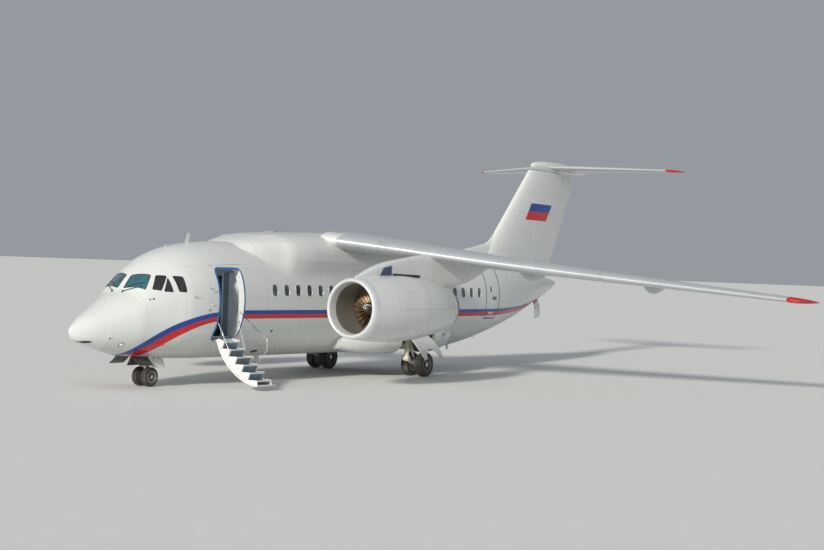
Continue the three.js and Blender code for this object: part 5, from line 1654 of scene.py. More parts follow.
@dataclass
class WingFairing:
    """The saddle that carries the wing over the fuselage."""

    rows = ((5.7, 4.12, 0.8), (6.4, 4.37, 1.18), (7.1, 4.515, 1.44), (7.5, 4.55, 1.62), (8.5, 4.6, 1.71),
            (11.5, 4.67, 1.72), (13.5, 4.62, 1.7), (15.0, 4.52, 1.5), (16.5, 4.42, 1.1), (17.6, 4.25, 0.7))
    middle: float = 3.85
    depth: float = 0.55
    exponent: float = 2.8

    def outside(self, x: Array, angle: Array, grow: float = 0.0) -> Array:
        """The saddle's surface at a station and a ring angle, 0 to starboard and a quarter turn at the top."""
        table = np.array(self.rows)
        top, half = Curve(table[:, 0], table[:, 1])(x), Curve(table[:, 0], table[:, 2])(x)
        e = 2 / self.exponent
        up = np.where(np.sin(angle) > 0, top - self.middle, self.depth)
        return np.stack([np.broadcast_to(x, np.broadcast(x, angle).shape), (half + grow) * power(np.cos(angle), e),
                         self.middle + (up + grow) * power(np.sin(angle), e)], -1)

    def build(self) -> None:
        """Make the saddle with its joints, the skirts beside it and the inlets."""
        t = np.linspace(0, 1, 90)
        x = 5.7 + (17.6 - 5.7) * t
        rows = self.outside(x[:, None], evenly(112)[None])
        ease = np.minimum(1, np.minimum(x - 5.7, 17.6 - x) / 0.5)[:, None]
        rows[..., 2] -= 0.04 * (1 - np.sqrt(np.clip(ease, 0, 1)))
        YARD.publish("wing_fairing", Shape().grid(rows), "airframe", (Finish.SKIN,),
                     ("wing_fairing",), 50)
        for side, name in SIDES:
            YARD.publish(f"fairing_skirt_{name}", self.skirt().mirrored(side), "airframe", (Finish.SKIN,),
                         (), 60)
        inlets = Shape()
        for side, _ in SIDES:
            t = np.linspace(0, 1, 14)
            x = 6.75 + 0.65 * t
            for k, (angle, size) in enumerate(((0.62, 1.0), (1.05, 0.7))):
                centre = self.outside(x, np.full(14, angle))
                centre[:, 1] *= side
                inlets.tube(centre, 0.035 * size * np.sin(np.clip(t, 0.02, 0.98) * math.pi) ** 0.6, 14)
        YARD.publish("fairing_inlets", inlets, "airframe", (Finish.WHITE,), (), 50)


    def skirt(self) -> Shape:
        """The smooth side panel from the saddle's widest line down to the fuselage.

        Each section is a cubic curve with its ends a and d on the two forms and its inner points
        b = a - r (0, 1) and c = d + r u, where u climbs the fuselage's side at d and r is 0.42 of the
        height between the ends. Behind it the loop closes inside both forms.
        """
        x = np.linspace(5.9, 17.4, 80)
        start = self.outside(x, np.full(len(x), 0.03))
        reach = np.maximum(start[:, 1] + BODY.side(x, start[:, 2]) * -1, 0)
        foot = np.maximum(start[:, 2] - 0.24 - 1.0 * reach, 3.06)
        end = np.stack([x, BODY.side(x, foot) + 0.002, foot], -1)
        above = np.stack([x, BODY.side(x, foot + 0.02) + 0.002, foot + 0.02], -1) - end
        climb = above / np.linalg.norm(above, axis=1)[:, None]
        start[:, 1] = np.maximum(start[:, 1], BODY.side(x, start[:, 2]) - 0.03)
        r = 0.42 * (start[:, 2] - foot)[:, None]
        t = np.linspace(0, 1, 22)[:, None, None]
        curve = ((1 - t) ** 3 * start + 3 * (1 - t) ** 2 * t * (start - r * (0, 0, 1))
                 + 3 * (1 - t) * t ** 2 * (end + r * climb) + t ** 3 * end)
        back = np.stack([end - (0, 0.06, 0.01), start - (0, 0.25, 0.0)])
        return Shape().grid(np.concatenate([curve, back]).transpose(1, 0, 2))


@dataclass
class Engine:
    """A nacelle below each wing with its fan, core and pylon, all turned about one axis."""

    y: float = 4.25
    z: float = 2.39
    sides: int = 96
    lip = ((7.11, 0.905), (6.96, 0.897), (6.86, 0.862), (6.83, 0.82), (6.86, 0.775), (7.11, 0.735))
    outside = ((7.1104, 0.905), (7.6, 0.955), (8.3, 1.0), (9.1, 1.005), (9.9, 0.96), (10.7, 0.855), (11.55, 0.69))
    inside = ((11.55, 0.66), (8.3, 0.705), (7.1104, 0.735))
    pylon_rows = ((7.07, 3.23, 3.33, 0.03), (7.41, 3.18, 3.46, 0.09), (7.94, 3.15, 3.64, 0.14),
                  (8.6, 3.13, 3.79, 0.17), (9.59, 3.08, 3.93, 0.17), (10.5, 3.0, 4.03, 0.17),
                  (11.3, 2.86, 4.03, 0.17), (11.8, 3.04, 4.03, 0.17), (12.1, 3.085, 4.02, 0.168), (12.8, 3.18, 3.97, 0.155),
                  (13.25, 3.29, 3.94, 0.135), (14.0, 3.56, 3.89, 0.08), (14.5, 3.75, 3.86, 0.012))

    def build(self) -> None:
        """Make both engines."""
        for side, name in SIDES:
            self.nacelle(side, name)
            self.core(side, name)
            self.rotor(side, name)
            self.pylon(side, name)

    def centre(self, side: int) -> tuple[float, float, float]:
        """A point on the axis."""
        return 0.0, side * self.y, self.z

    def nacelle(self, side: int, name: str) -> None:
        """The polished lip and the cowl with its seams, latches and intake lining."""
        centre = self.centre(side)
        lip = Shape().turned(self.lip, centre, "x", self.sides, 0, True, 6)
        YARD.publish(f"intake_lip_{name}", lip, "airframe", (Finish.LIP,),
                     (f"intake_lip_{name}",), 50)
        cowl = Shape()
        curve = Curve(*np.array(self.outside).T)
        x = np.concatenate([[7.1104], np.linspace(7.14, 11.53, 60), [11.55]])
        outer = np.stack([x, curve(x)], -1)
        inner = np.array([(11.55, 0.66), (11.5, 0.665), (10.6, 0.68), (9.4, 0.695), (8.3, 0.705), (7.7, 0.72),
                          (7.3, 0.731), (7.1104, 0.735)])
        cowl.turned(np.concatenate([outer, inner]), centre, "x", self.sides, 0, True)
        YARD.publish(f"engine_cowl_{name}", cowl, "airframe", (Finish.NACELLE,),
                     (f"engine_cowl_{name}",), 40)
        lining = Shape().turned([[7.12, 0.7335], [7.12, 0.7325], [7.7, 0.7165], [8.29, 0.702], [8.29, 0.704],
                                 [7.7, 0.7185]], centre, "x", self.sides, 0, True)
        YARD.publish(f"intake_lining_{name}", lining, "airframe", (Finish.LINING,), (), 60)
        trim = Shape()
        for x0 in (8.86, 10.46):
            for angle in (-1.72, -1.57, -1.42):
                r = float(curve(x0)) + 0.001
                spot = (x0, side * self.y + r * math.cos(angle), self.z + r * math.sin(angle))
                trim.block(np.array(spot) - (0.06, 0.02, 0.006), np.array(spot) + (0.06, 0.02, 0.006), 0.008, 0)
        YARD.publish(f"cowl_latches_{name}", trim, "airframe", (Finish.POLISHED,), (), 50)

    def core(self, side: int, name: str) -> None:
        """The engine's core: closed front, nozzle rim and the exhaust plug."""
        body = Shape().turned([[8.3, 0], [8.3, 0.7], [11.38, 0.655], [11.6, 0.64], [11.8, 0.59], [11.81, 0.575],
                               [11.8, 0.56], [11.6, 0.57], [11.5, 0.57], [11.5, 0.33], [11.62, 0.325], [11.8, 0.25],
                               [11.95, 0.13], [12.05, 0]], self.centre(side), "x", self.sides, 0)
        YARD.publish(f"engine_core_{name}", body, "airframe", (Finish.NOZZLE,),
                     (f"engine_core_{name}",), 30)
        vanes = Shape()
        for angle in evenly(24):
            radius = np.array([0.3, 0.69])
            y = side * self.y + radius * math.cos(angle)
            z = self.z + radius * math.sin(angle)
            across = np.array([0, -math.sin(angle), math.cos(angle)]) * 0.006
            rows = []
            for k in (0, 1):
                low = np.array([8.235, y[k], z[k]])
                high = np.array([8.299, y[k], z[k]]) + 3 * across
                rows.append(np.stack([low - across, high - across, high + across, low + across]))
            vanes.grid(np.array(rows))
        YARD.publish(f"stator_vanes_{name}", vanes, "airframe", (Finish.STEEL,), (), 30)

    def rotor(self, side: int, name: str) -> None:
        """Fan blades twisted from hub to tip, on a disc behind a rounded spinner."""
        shape = Shape()
        radius = np.linspace(0.19, 0.682, 12)
        part = (radius - 0.19) / (0.682 - 0.19)
        twist = np.radians(28 + 34 * part)
        chord = 0.2 + 0.1 * np.sin(part * math.pi * 0.8)
        t = (1 - np.cos(np.linspace(0, math.pi, 9))) / 2
        middle, half = blade(t, 0.05, 0.06, 1.0)
        loop = np.stack([np.concatenate([t, t[-2:0:-1]]) - 0.5,
                         np.concatenate([(middle + half), (middle - half)[-2:0:-1]])], -1)
        along = chord[:, None] * (loop[:, 0] * np.cos(twist)[:, None] - loop[:, 1] * np.sin(twist)[:, None])
        round_ = chord[:, None] * (loop[:, 0] * np.sin(twist)[:, None] + loop[:, 1] * np.cos(twist)[:, None])
        for start in evenly(24):
            angle = start + np.arcsin(np.clip(round_ / radius[:, None], -1, 1))
            rows = np.stack([8.02 + along, side * self.y + radius[:, None] * np.cos(angle),
                             self.z + radius[:, None] * np.sin(angle)], -1)
            shape.grid(rows, 0)
        YARD.publish(f"fan_{name}", shape, f"fan_rotor_{name}", (Finish.BRONZE,), (f"fan_{name}",), 40)
        hub = Shape().turned([[7.54, 0], [7.542, 0.02], [7.57, 0.06], [7.64, 0.115], [7.74, 0.165], [7.86, 0.2],
                              [8.2, 0.225], [8.21, 0.2], [8.21, 0.06], [8.2, 0]], self.centre(side), "x", 48, 0)
        comma = np.linspace(0, 1, 12)
        radius = 0.03 + 0.115 * comma
        angle = 2.6 * comma
        x = np.interp(radius, (0.02, 0.06, 0.115, 0.165), (7.542, 7.57, 7.64, 7.74)) - 0.001
        path = np.stack([x, side * self.y + radius * np.cos(angle), self.z + radius * np.sin(angle)], -1)
        hub.tube(path, 0.008 + 0.01 * np.sin(comma * math.pi), 8, 1)
        YARD.publish(f"spinner_{name}", hub, f"fan_rotor_{name}", (Finish.NOZZLE, Finish.PANEL), (), 40)

    def pylon(self, side: int, name: str) -> None:
        """The pylon: flat-sided rings that round over its front and taper to a thin edge behind."""
        table = np.array(self.pylon_rows)
        x = np.concatenate([7.07 + 0.34 * np.linspace(0, 1, 10) ** 1.6, np.linspace(7.5, 14.5, 70)])
        low, high, half = (Curve(table[:, 0], table[:, k])(x) for k in (1, 2, 3))
        angle = evenly(32)
        middle, reach = (low + high) / 2, (high - low) / 2
        rows = np.stack([np.broadcast_to(x[:, None], (len(x), 32)),
                         side * self.y + half[:, None] * power(np.cos(angle), 0.45),
                         middle[:, None] + reach[:, None] * power(np.sin(angle), 0.5)], -1)
        YARD.publish(f"pylon_{name}", Shape().grid(rows), "airframe", (Finish.NACELLE,),
                     (f"pylon_{name}",), 50)
        # Painted shade: a dark blue plate stands in for the vent's recess and a black plate for the open slot; the
        # louvres are black.
        vent = Shape()
        outline = rounded([(8.02, 3.34), (8.2, 3.6), (8.62, 3.68), (8.62, 3.3)], 0.03, 0.2)
        y = side * (self.y + 0.15)
        vent.plate(outline, *sorted((y, y + side * 0.024)), "y", 0)
        for k in range(5):
            vent.block((8.12 + 0.03 * k, *sorted((y, y + side * 0.028))[:1], 3.36 + 0.055 * k),
                       (8.6, sorted((y, y + side * 0.028))[1], 3.375 + 0.055 * k), 0.004, 1)
        slot = rounded([(8.66, 3.44), (10.12, 3.41), (10.12, 3.33), (8.7, 3.37)], 0.02, 0.2)
        vent.plate(slot, *sorted((y, y + side * 0.0265)), "y", 1)
        YARD.publish(f"pylon_vents_{name}", vent, "airframe", (Finish.VENT_SHADE, Finish.BLACK), (), 50)


# Landing gear

@dataclass
class Wheel:
    """A tyre with grooves and a dished hub, turned about y."""

    radius: float
    width: float
    rim: float
    axle: float
    grooves: int = 4
    bolts: int = 10

    def tyre(self, shape: Shape, centre: tuple[float, float, float], slot: int = 0) -> None:
        """The tyre: rounded shoulders, bulged walls and grooves round the tread."""
        half, r = self.width / 2, self.radius
        side = np.array([(-0.62, self.rim + 0.0004), (-0.8, self.rim + 0.006), (-0.93, self.rim + 0.03),
                         (-1.0, (self.rim + r) / 2 + 0.01), (-0.95, r - 0.045), (-0.84, r - 0.016), (-0.7, r - 0.005)])
        wall = smoothed(side, 4)
        tread = []
        for k in range(self.grooves):
            at = -0.62 + 1.24 * (k + 0.5) / self.grooves
            tread += [(at - 0.045, r), (at - 0.035, r - 0.007), (at + 0.035, r - 0.007), (at + 0.045, r)]
        profile = np.concatenate([wall, tread, wall[::-1] * (-1, 1)])
        profile[:, 0] *= half
        shape.turned(profile, centre, "y", 96, slot, True)

    def hub(self, shape: Shape, centre: tuple[float, float, float], out: float) -> None:
        """The hub: rim flanges, a dished web with bolts and a cap."""
        half, rim, axle = self.width / 2, self.rim, self.axle
        profile = [(-0.9, axle + 0.001), (-0.9, rim - 0.045), (-0.96, rim - 0.03), (-0.96, rim - 0.004),
                   (-0.9, rim), (0.9, rim), (0.96, rim - 0.004), (0.96, rim - 0.03), (0.88, rim - 0.045),
                   (0.45, rim - 0.06), (0.34, rim * 0.6), (0.4, rim * 0.42), (0.78, rim * 0.36),
                   (0.8, axle + 0.001)]
        turned = [(p * half * out, radius) for p, radius in profile]
        shape.turned(turned, centre, "y", 64, 0, True)
        x, y, z = centre
        for angle in evenly(self.bolts):
            spot = (x + rim * 0.72 * math.cos(angle), y, z + rim * 0.72 * math.sin(angle))
            low, high = sorted((out * half * 0.3, out * half * 0.47))
            shape.turned([[low, 0], [low, 0.009], [high, 0.009], [high, 0]], spot, "y", 6, 1)
        low, high = sorted((out * half * 0.3, out * half * 0.9))
        shape.turned([[low, axle + 0.001], [low, rim * 0.3], [high - out * 0.0, rim * 0.3],
                      [high, axle + 0.001]] if out > 0 else
                     [[low, axle + 0.001], [low, rim * 0.3], [high, rim * 0.3], [high, axle + 0.001]],
                     centre, "y", 40, 1, True)


def strut(shape: Shape, start: Sequence[float], end: Sequence[float], radius: float, slot: int = 0,
          sides: int = 28, collars: Sequence[float] = ()) -> Shape:
    """A round bar with softened ends, and collars at fractions of its length."""
    a, b = np.array(start, float), np.array(end, float)
    length = float(np.linalg.norm(b - a))
    soft = 0.15 * radius / length
    at = np.array([0, soft, 1 - soft, 1])
    shape.tube(a + (b - a) * at[:, None], radius * np.array([0.85, 1, 1, 0.85]), sides, slot)
    for c in collars:
        t = c + np.array([-0.5, -0.4, 0.4, 0.5]) * 0.05 / length
        shape.tube(a + (b - a) * t[:, None], radius * np.array([1.05, 1.22, 1.22, 1.05]), sides, slot)
    return shape


@dataclass
class NoseGear:
    """The steered nose gear with its twin wheels, lamps and two pairs of doors."""

    x: float = 2.92
    half: float = 0.18
    wheel: Wheel = field(default_factory=lambda: Wheel(0.276, 0.19, 0.175, 0.032, 3, 8))

    def build(self) -> None:
        """Make the leg, the fork, the wheels and the doors."""
        self.leg()
        self.fork()
        self.wheels()
        self.doors()

    def leg(self) -> None:
        """The fixed leg in its bay with the drag brace, cross bar, lamps and lines."""
        x = self.x
        leg = strut(Shape(), (x, 0, 0.802), (x, 0, 1.419), 0.078, 0, 36, (0.2, 0.86))
        strut(leg, (x, 0, 1.06), (2.31, 0, 1.37), 0.034, 0, 20, (0.12, 0.9))
        strut(leg, (x - 0.02, -0.25, 1.25), (x - 0.02, 0.25, 1.25), 0.038, 0, 24)
        leg.block((x - 0.13, -0.05, 1.0), (x - 0.06, 0.05, 1.12), 0.015, 0)
        for y in (-0.14, 0.14):
            strut(leg, (x - 0.04, y, 1.22), (x - 0.09, y, 1.04), 0.014, 1, 12)
            leg.turned([[x - 0.165, 0.02], [x - 0.16, 0.056], [x - 0.12, 0.058], [x - 0.075, 0.03], [x - 0.07, 0]],
                       (0, y, 1.03), "x", 24, 0)
        YARD.publish("nose_leg", leg, "airframe", (Finish.LEG, Finish.POLISHED), ("nose_leg",), 40)
        lamps = Shape()
        for y in (-0.14, 0.14):
            lamps.turned([[x - 0.172, 0], [x - 0.17, 0.03], [x - 0.162, 0.052], [x - 0.158, 0]], (0, y, 1.03), "x", 24)
        YARD.publish("nose_gear_lamps", lamps, "airframe", (Finish.CLEAR_LENS,), (), 40)
        lines = Shape()
        t = np.linspace(0, 1, 30)
        for k, y in enumerate((-0.06, 0.06, 0.085)):
            lines.tube(np.stack([x + 0.075 + 0.02 * np.sin(t * 5 + k), y * (1 + 0.4 * np.sin(t * 3)), 0.86 + 0.5 * t],
                                -1), 0.006, 8)
        YARD.publish("nose_gear_lines", lines, "airframe", (Finish.BLACK,), (), 60)

    def fork(self) -> None:
        """The lower leg that steers: piston, axle with its boss, and torque links."""
        x = self.x
        fork = strut(Shape(), (x, 0, 0.3), (x, 0, 0.7), 0.045, 1, 32)
        strut(fork, (x, -0.072, 0.276), (x, 0.072, 0.276), 0.07, 0, 36)
        strut(fork, (x, -0.275, 0.276), (x, 0.275, 0.276), 0.0315, 1, 24)
        fork.turned([[0.7, 0.046], [0.7, 0.068], [0.705, 0.07], [0.79, 0.07], [0.7985, 0.066], [0.7985, 0]],
                    (x, 0, 0), "z", 36, 0)
        fork.turned([[0.73, 0.071], [0.735, 0.078], [0.76, 0.078], [0.765, 0.071]], (x, 0, 0), "z", 36, 1)
        knee = (x + 0.17, 0, 0.61)
        for y in (-0.028, 0.028):
            strut(fork, (x + 0.03, y, 0.5), (knee[0], y * 0.5, 0.6), 0.014, 0, 14)
            strut(fork, (x + 0.04, y, 0.735), (knee[0], y * 0.5, 0.62), 0.014, 0, 14)
        strut(fork, (knee[0], -0.035, 0.61), (knee[0], 0.035, 0.61), 0.02, 1, 20)
        strut(fork, (x - 0.03, 0, 0.33), (x + 0.05, 0, 0.5), 0.026, 0, 20)
        YARD.publish("nose_fork", fork, "nose_steering", (Finish.LEG, Finish.POLISHED), ("nose_fork",), 40)

    def wheels(self) -> None:
        """Both tyres and hubs, with the bright ring round each rim."""
        tyres = {-1: Shape(), 1: Shape()}
        hubs, rings = Shape(), Shape()
        for side, name in SIDES:
            centre = (self.x, side * self.half, self.wheel.radius)
            self.wheel.tyre(tyres[side], centre)
            self.wheel.hub(hubs, centre, side)
            ring = evenly(64)
            r = self.wheel.rim - 0.006
            y = side * (self.half + self.wheel.width / 2 * 0.97)
            rings.tube(np.stack([self.x + r * np.cos(ring), 0 * ring + y, self.wheel.radius + r * np.sin(ring)], -1),
                       0.006, 8, 0, True)
            YARD.publish(f"nose_tyre_{name}", tyres[side], "nose_wheel_pair", (Finish.TYRE,),
                         (f"nose_tyre_{name}",), 30)
        YARD.publish("nose_wheels", hubs, "nose_wheel_pair", (Finish.HUB, Finish.STEEL),
                     ("nose_wheels",), 35)
        YARD.publish("nose_wheel_rings", rings, "nose_wheel_pair", (Finish.CHROME,), (), 60)

    def doors(self) -> None:
        """Two hinged panels a side, each a rail in the bay and a curved panel below it. The front panels and the
        linings inside every panel are dark: painted shade.
        """
        for side, name in SIDES:
            doors = Shape()
            # Slot 2 is painted shade: the front panel is dark all over to stand in for the shade round the leg.
            for start, end, tilt, slot in ((2.1, 2.64, 50.0, 2), (2.68, 3.21, 28.0, 0)):
                angle = math.radians(tilt)
                t = np.linspace(0, 1, 14)
                lean = angle * (0.82 + 0.36 * t)
                step = 0.33 / 13
                y = 0.351 + np.append(0, np.cumsum(np.sin(lean[:-1]) * step))
                z = 0.862 - np.append(0, np.cumsum(np.cos(lean[:-1]) * step))
                out = np.stack([y, z], -1)
                away = np.stack([np.cos(lean), np.sin(lean)], -1) * 0.009
                edge = np.concatenate([out + away, (out - away)[::-1]]) * (side, 1)
                doors.plate(edge, start, end, "x", slot)
                inner = np.concatenate([(out - away)[2:12], (out - 1.6 * away)[2:12][::-1]]) * (side, 1)
                for x in (start + 0.05, (start + end) / 2 - 0.015, end - 0.08):
                    doors.plate(inner, x, x + 0.03, "x", 1)
                # A dark lining on each panel's inner face: painted shade.
                lining = np.concatenate([(out - away), (out - 1.2 * away)[::-1]]) * (side, 1)
                doors.plate(lining, start + 0.01, end - 0.01, "x", 2)
            YARD.publish(f"nose_gear_door_{name}", doors, "airframe", (Finish.WHITE, Finish.BAY, Finish.STRUT_AND_SHADE),
                         (f"nose_gear_door_{name}",), 35, 0.002)
            links = Shape()
            for x in (2.3, 2.5, 2.85, 3.05):
                links.block((x - 0.02, side * 0.334 - 0.012, 0.85), (x + 0.02, side * 0.334 + 0.02, 0.93), 0.006)
                strut(links, (x, side * 0.34, 0.9), (x, side * 0.39, 0.8), 0.012, 0, 12)
            YARD.publish(f"nose_door_links_{name}", links, "airframe", (Finish.LEG,), (), 40)


@dataclass
class MainGear:
    """One main gear a side: trailing arm, shock strut, braces, twin wheels and the leg's own door."""

    x: float = 13.66
    y: float = 2.03
    half: float = 0.28
    leg_x: float = 13.02
    wheel: Wheel = field(default_factory=lambda: Wheel(0.405, 0.265, 0.255, 0.04, 4, 10))
    door = ((12.65, 1.5496), (13.6, 1.5496), (13.64, 1.48), (13.98, 1.26), (14.2, 1.05), (14.29, 0.83), (14.3, 0.61),
            (14.15, 0.59), (14.09, 0.74), (13.96, 0.86), (13.8, 0.93), (13.67, 0.94), (13.54, 0.91), (13.44, 0.83),
            (13.37, 0.7), (13.33, 0.59), (13.2, 0.59), (13.11, 0.83), (12.95, 1.08), (12.76, 1.32))

    def build(self) -> None:
        """Make both gears."""
        for side, name in SIDES:
            self.leg(side, name)
            self.wheels(side, name)
            self.doors(side, name)

    def leg(self, side: int, name: str) -> None:
        """The leg with everything that is fixed to it."""
        x, y, axle = self.x, side * self.y, self.wheel.radius
        leg = strut(Shape(), (self.leg_x, y, 0.56), (self.leg_x, y, 1.549), 0.082, 0, 36, (0.08, 0.4, 0.8))
        strut(leg, (self.leg_x, y - 0.16, 1.46), (self.leg_x, y + 0.16, 1.46), 0.09, 0, 32)
        t = np.linspace(0, 1, 12)[:, None]
        arm = np.array([self.leg_x, y, 0.6]) + (np.array([x, y, axle]) - np.array([self.leg_x, y, 0.6])) * t
        arm[:, 2] -= 0.02 * np.sin(t[:, 0] * math.pi)
        leg.tube(arm, 0.066 + (0.058 - 0.066) * t[:, 0], 28, 0)
        strut(leg, (x, y - 0.105, axle), (x, y + 0.105, axle), 0.09, 0, 36)
        strut(leg, (x, y - 0.4, axle), (x, y + 0.4, axle), 0.0395, 1, 28)
        strut(leg, (self.leg_x, y - 0.1, 0.62), (self.leg_x, y + 0.1, 0.62), 0.098, 0, 32)
        strut(leg, (x - 0.15, y, 0.48), (13.33, y, 0.83), 0.034, 1, 24)
        strut(leg, (13.33, y, 0.83), (13.15, y, 1.18), 0.055, 0, 28, (0.1, 0.9))
        strut(leg, (13.15, y, 1.18), (self.leg_x, y, 1.29), 0.055, 0, 24)
        strut(leg, (self.leg_x, y, 0.98), (self.leg_x, side * 1.11, 1.5), 0.04, 0, 24, (0.15, 0.55, 0.92))
        strut(leg, (self.leg_x, y - side * 0.33, 1.48), (self.leg_x, y + side * 0.13, 1.48), 0.056, 0, 24)
        YARD.publish(f"main_leg_{name}", leg, "airframe", (Finish.CASTING, Finish.POLISHED),
                     (f"main_leg_{name}",), 45)
        lines = Shape()
        s = np.linspace(0, 1, 36)
        for k in range(3):
            path = arm[0] + (arm[-1] - arm[0]) * s[:, None]
            path[:, 1] += 0.05 - 0.05 * k + 0.012 * np.sin(s * 8 + k)
            path[:, 2] += 0.082 + 0.02 * np.sin(s * math.pi) + 0.01 * k
            lines.tube(path, 0.006, 8)
            drop = np.stack([self.leg_x + 0.09 + 0.006 * np.sin(s * 9 + k), y + 0.03 * (k - 1) + 0 * s, 0.68 + 0.82 * s],
                            -1)
            lines.tube(drop, 0.006, 8)
        YARD.publish(f"main_gear_lines_{name}", lines, "airframe", (Finish.BLACK,), (), 60)

    def wheels(self, side: int, name: str) -> None:
        """The outer and inner wheel of one leg."""
        body = f"main_wheel_pair_{name}"
        hubs = Shape()
        for part, out in (("inner", -side), ("outer", side)):
            centre = (self.x, side * self.y + out * self.half, self.wheel.radius)
            tyre = Shape()
            self.wheel.tyre(tyre, centre)
            self.wheel.hub(hubs, centre, out)
            YARD.publish(f"main_tyre_{name}_{part}", tyre, body, (Finish.TYRE,), (f"main_tyre_{name}_{part}",), 30)
        YARD.publish(f"main_wheels_{name}", hubs, body, (Finish.HUB, Finish.STEEL),
                     (f"main_wheels_{name}",), 35)

    def doors(self, side: int, name: str) -> None:
        """The arched door that stands on the leg, with its stiffeners."""
        outline = rounded(self.door, 0.035, 0.08)
        door = Shape().plate(outline, -0.017, 0.017, "y", 0)
        for rows in (((12.86, 1.45), (13.6, 1.45), (14.1, 1.06)), ((13.2, 0.66), (13.2, 1.06), (13.5, 1.06), (14.0, 0.98))):
            rib = bent(np.array([(x, -0.02, z) for x, z in rows]), 0.1)
            door.tube(rib, 0.009, 8, 0)
        tilt = math.radians(24)
        points = np.concatenate(door.points)
        top = 1.5496
        down = points[:, 2] - top
        y = 2.23 + points[:, 1] * math.cos(tilt) - down * math.tan(tilt)
        z = top + points[:, 1] * math.sin(tilt) + down * 1.0
        door.points = [np.stack([points[:, 0], y, np.minimum(z, top)], -1)]
        YARD.publish(f"main_gear_door_{name}", door.mirrored(side), "airframe", (Finish.WHITE,),
                     (f"main_gear_door_{name}",), 40)


@dataclass
class GearFairing:
    """The long bulge a side that holds the main gear, open below over the wheels."""

    rows = ((10.2, 1.33, 1.3, 0.95), (10.9, 1.8, 1.6, 0.83), (11.9, 2.15, 1.83, 0.775), (13.3, 2.32, 1.92, 0.765),
            (14.5, 2.29, 1.92, 0.775), (15.3, 2.13, 1.84, 0.86), (15.9, 1.85, 1.69, 1.08), (16.2, 1.5, 1.5, 1.28))
    inner: float = 0.9
    exponent: float = 2.4
    bay: tuple[float, float, float] = (12.45, 14.3, 1.55)

    def build(self) -> None:
        """Make both bulges with their bays, vents and the ends rounded."""
        table = np.array(self.rows)
        outer, top, bottom = (Curve(table[:, 0], table[:, k]) for k in (1, 2, 3))
        t = np.linspace(0, math.pi, 84)
        x = 13.2 - 3.0 * np.cos(t)
        angle = evenly(72)
        middle, up = (top(x) + bottom(x)) / 2, (top(x) - bottom(x)) / 2
        y_mid, reach = (outer(x) + self.inner) / 2, (outer(x) - self.inner) / 2
        rows = np.stack([np.broadcast_to(x[:, None], (len(x), 72)),
                         y_mid[:, None] + reach[:, None] * power(np.cos(angle), 2 / self.exponent),
                         middle[:, None] + up[:, None] * power(np.sin(angle), 2 / self.exponent)], -1)
        for side, name in SIDES:
            shape = Shape().grid(rows).mirrored(side)
            y = sorted((side * 0.95, side * 3.0))
            cut = Shape().block((self.bay[0], y[0], 0.2), (self.bay[1], y[1], self.bay[2]), 0, 1)
            mesh = carve(shape.mesh(f"gear_fairing_{name}"), cut.mesh("bay_cut"))
            YARD.publish(f"gear_fairing_{name}", mesh, "airframe", (Finish.SKIN, Finish.BAY),
                         (f"gear_fairing_{name}",), 40)
            t = np.linspace(0, 1, 8)
            spot = float(outer(np.array(14.8))) * 0.992
            vent = Shape().tube(np.stack([14.62 + 0.34 * t, side * (spot - 0.03 * t), 1.24 + 0.16 * t], -1), 0.035, 12)
            YARD.publish(f"fairing_vent_{name}", vent, "airframe", (Finish.BLACK,), (), 40)


# Tail

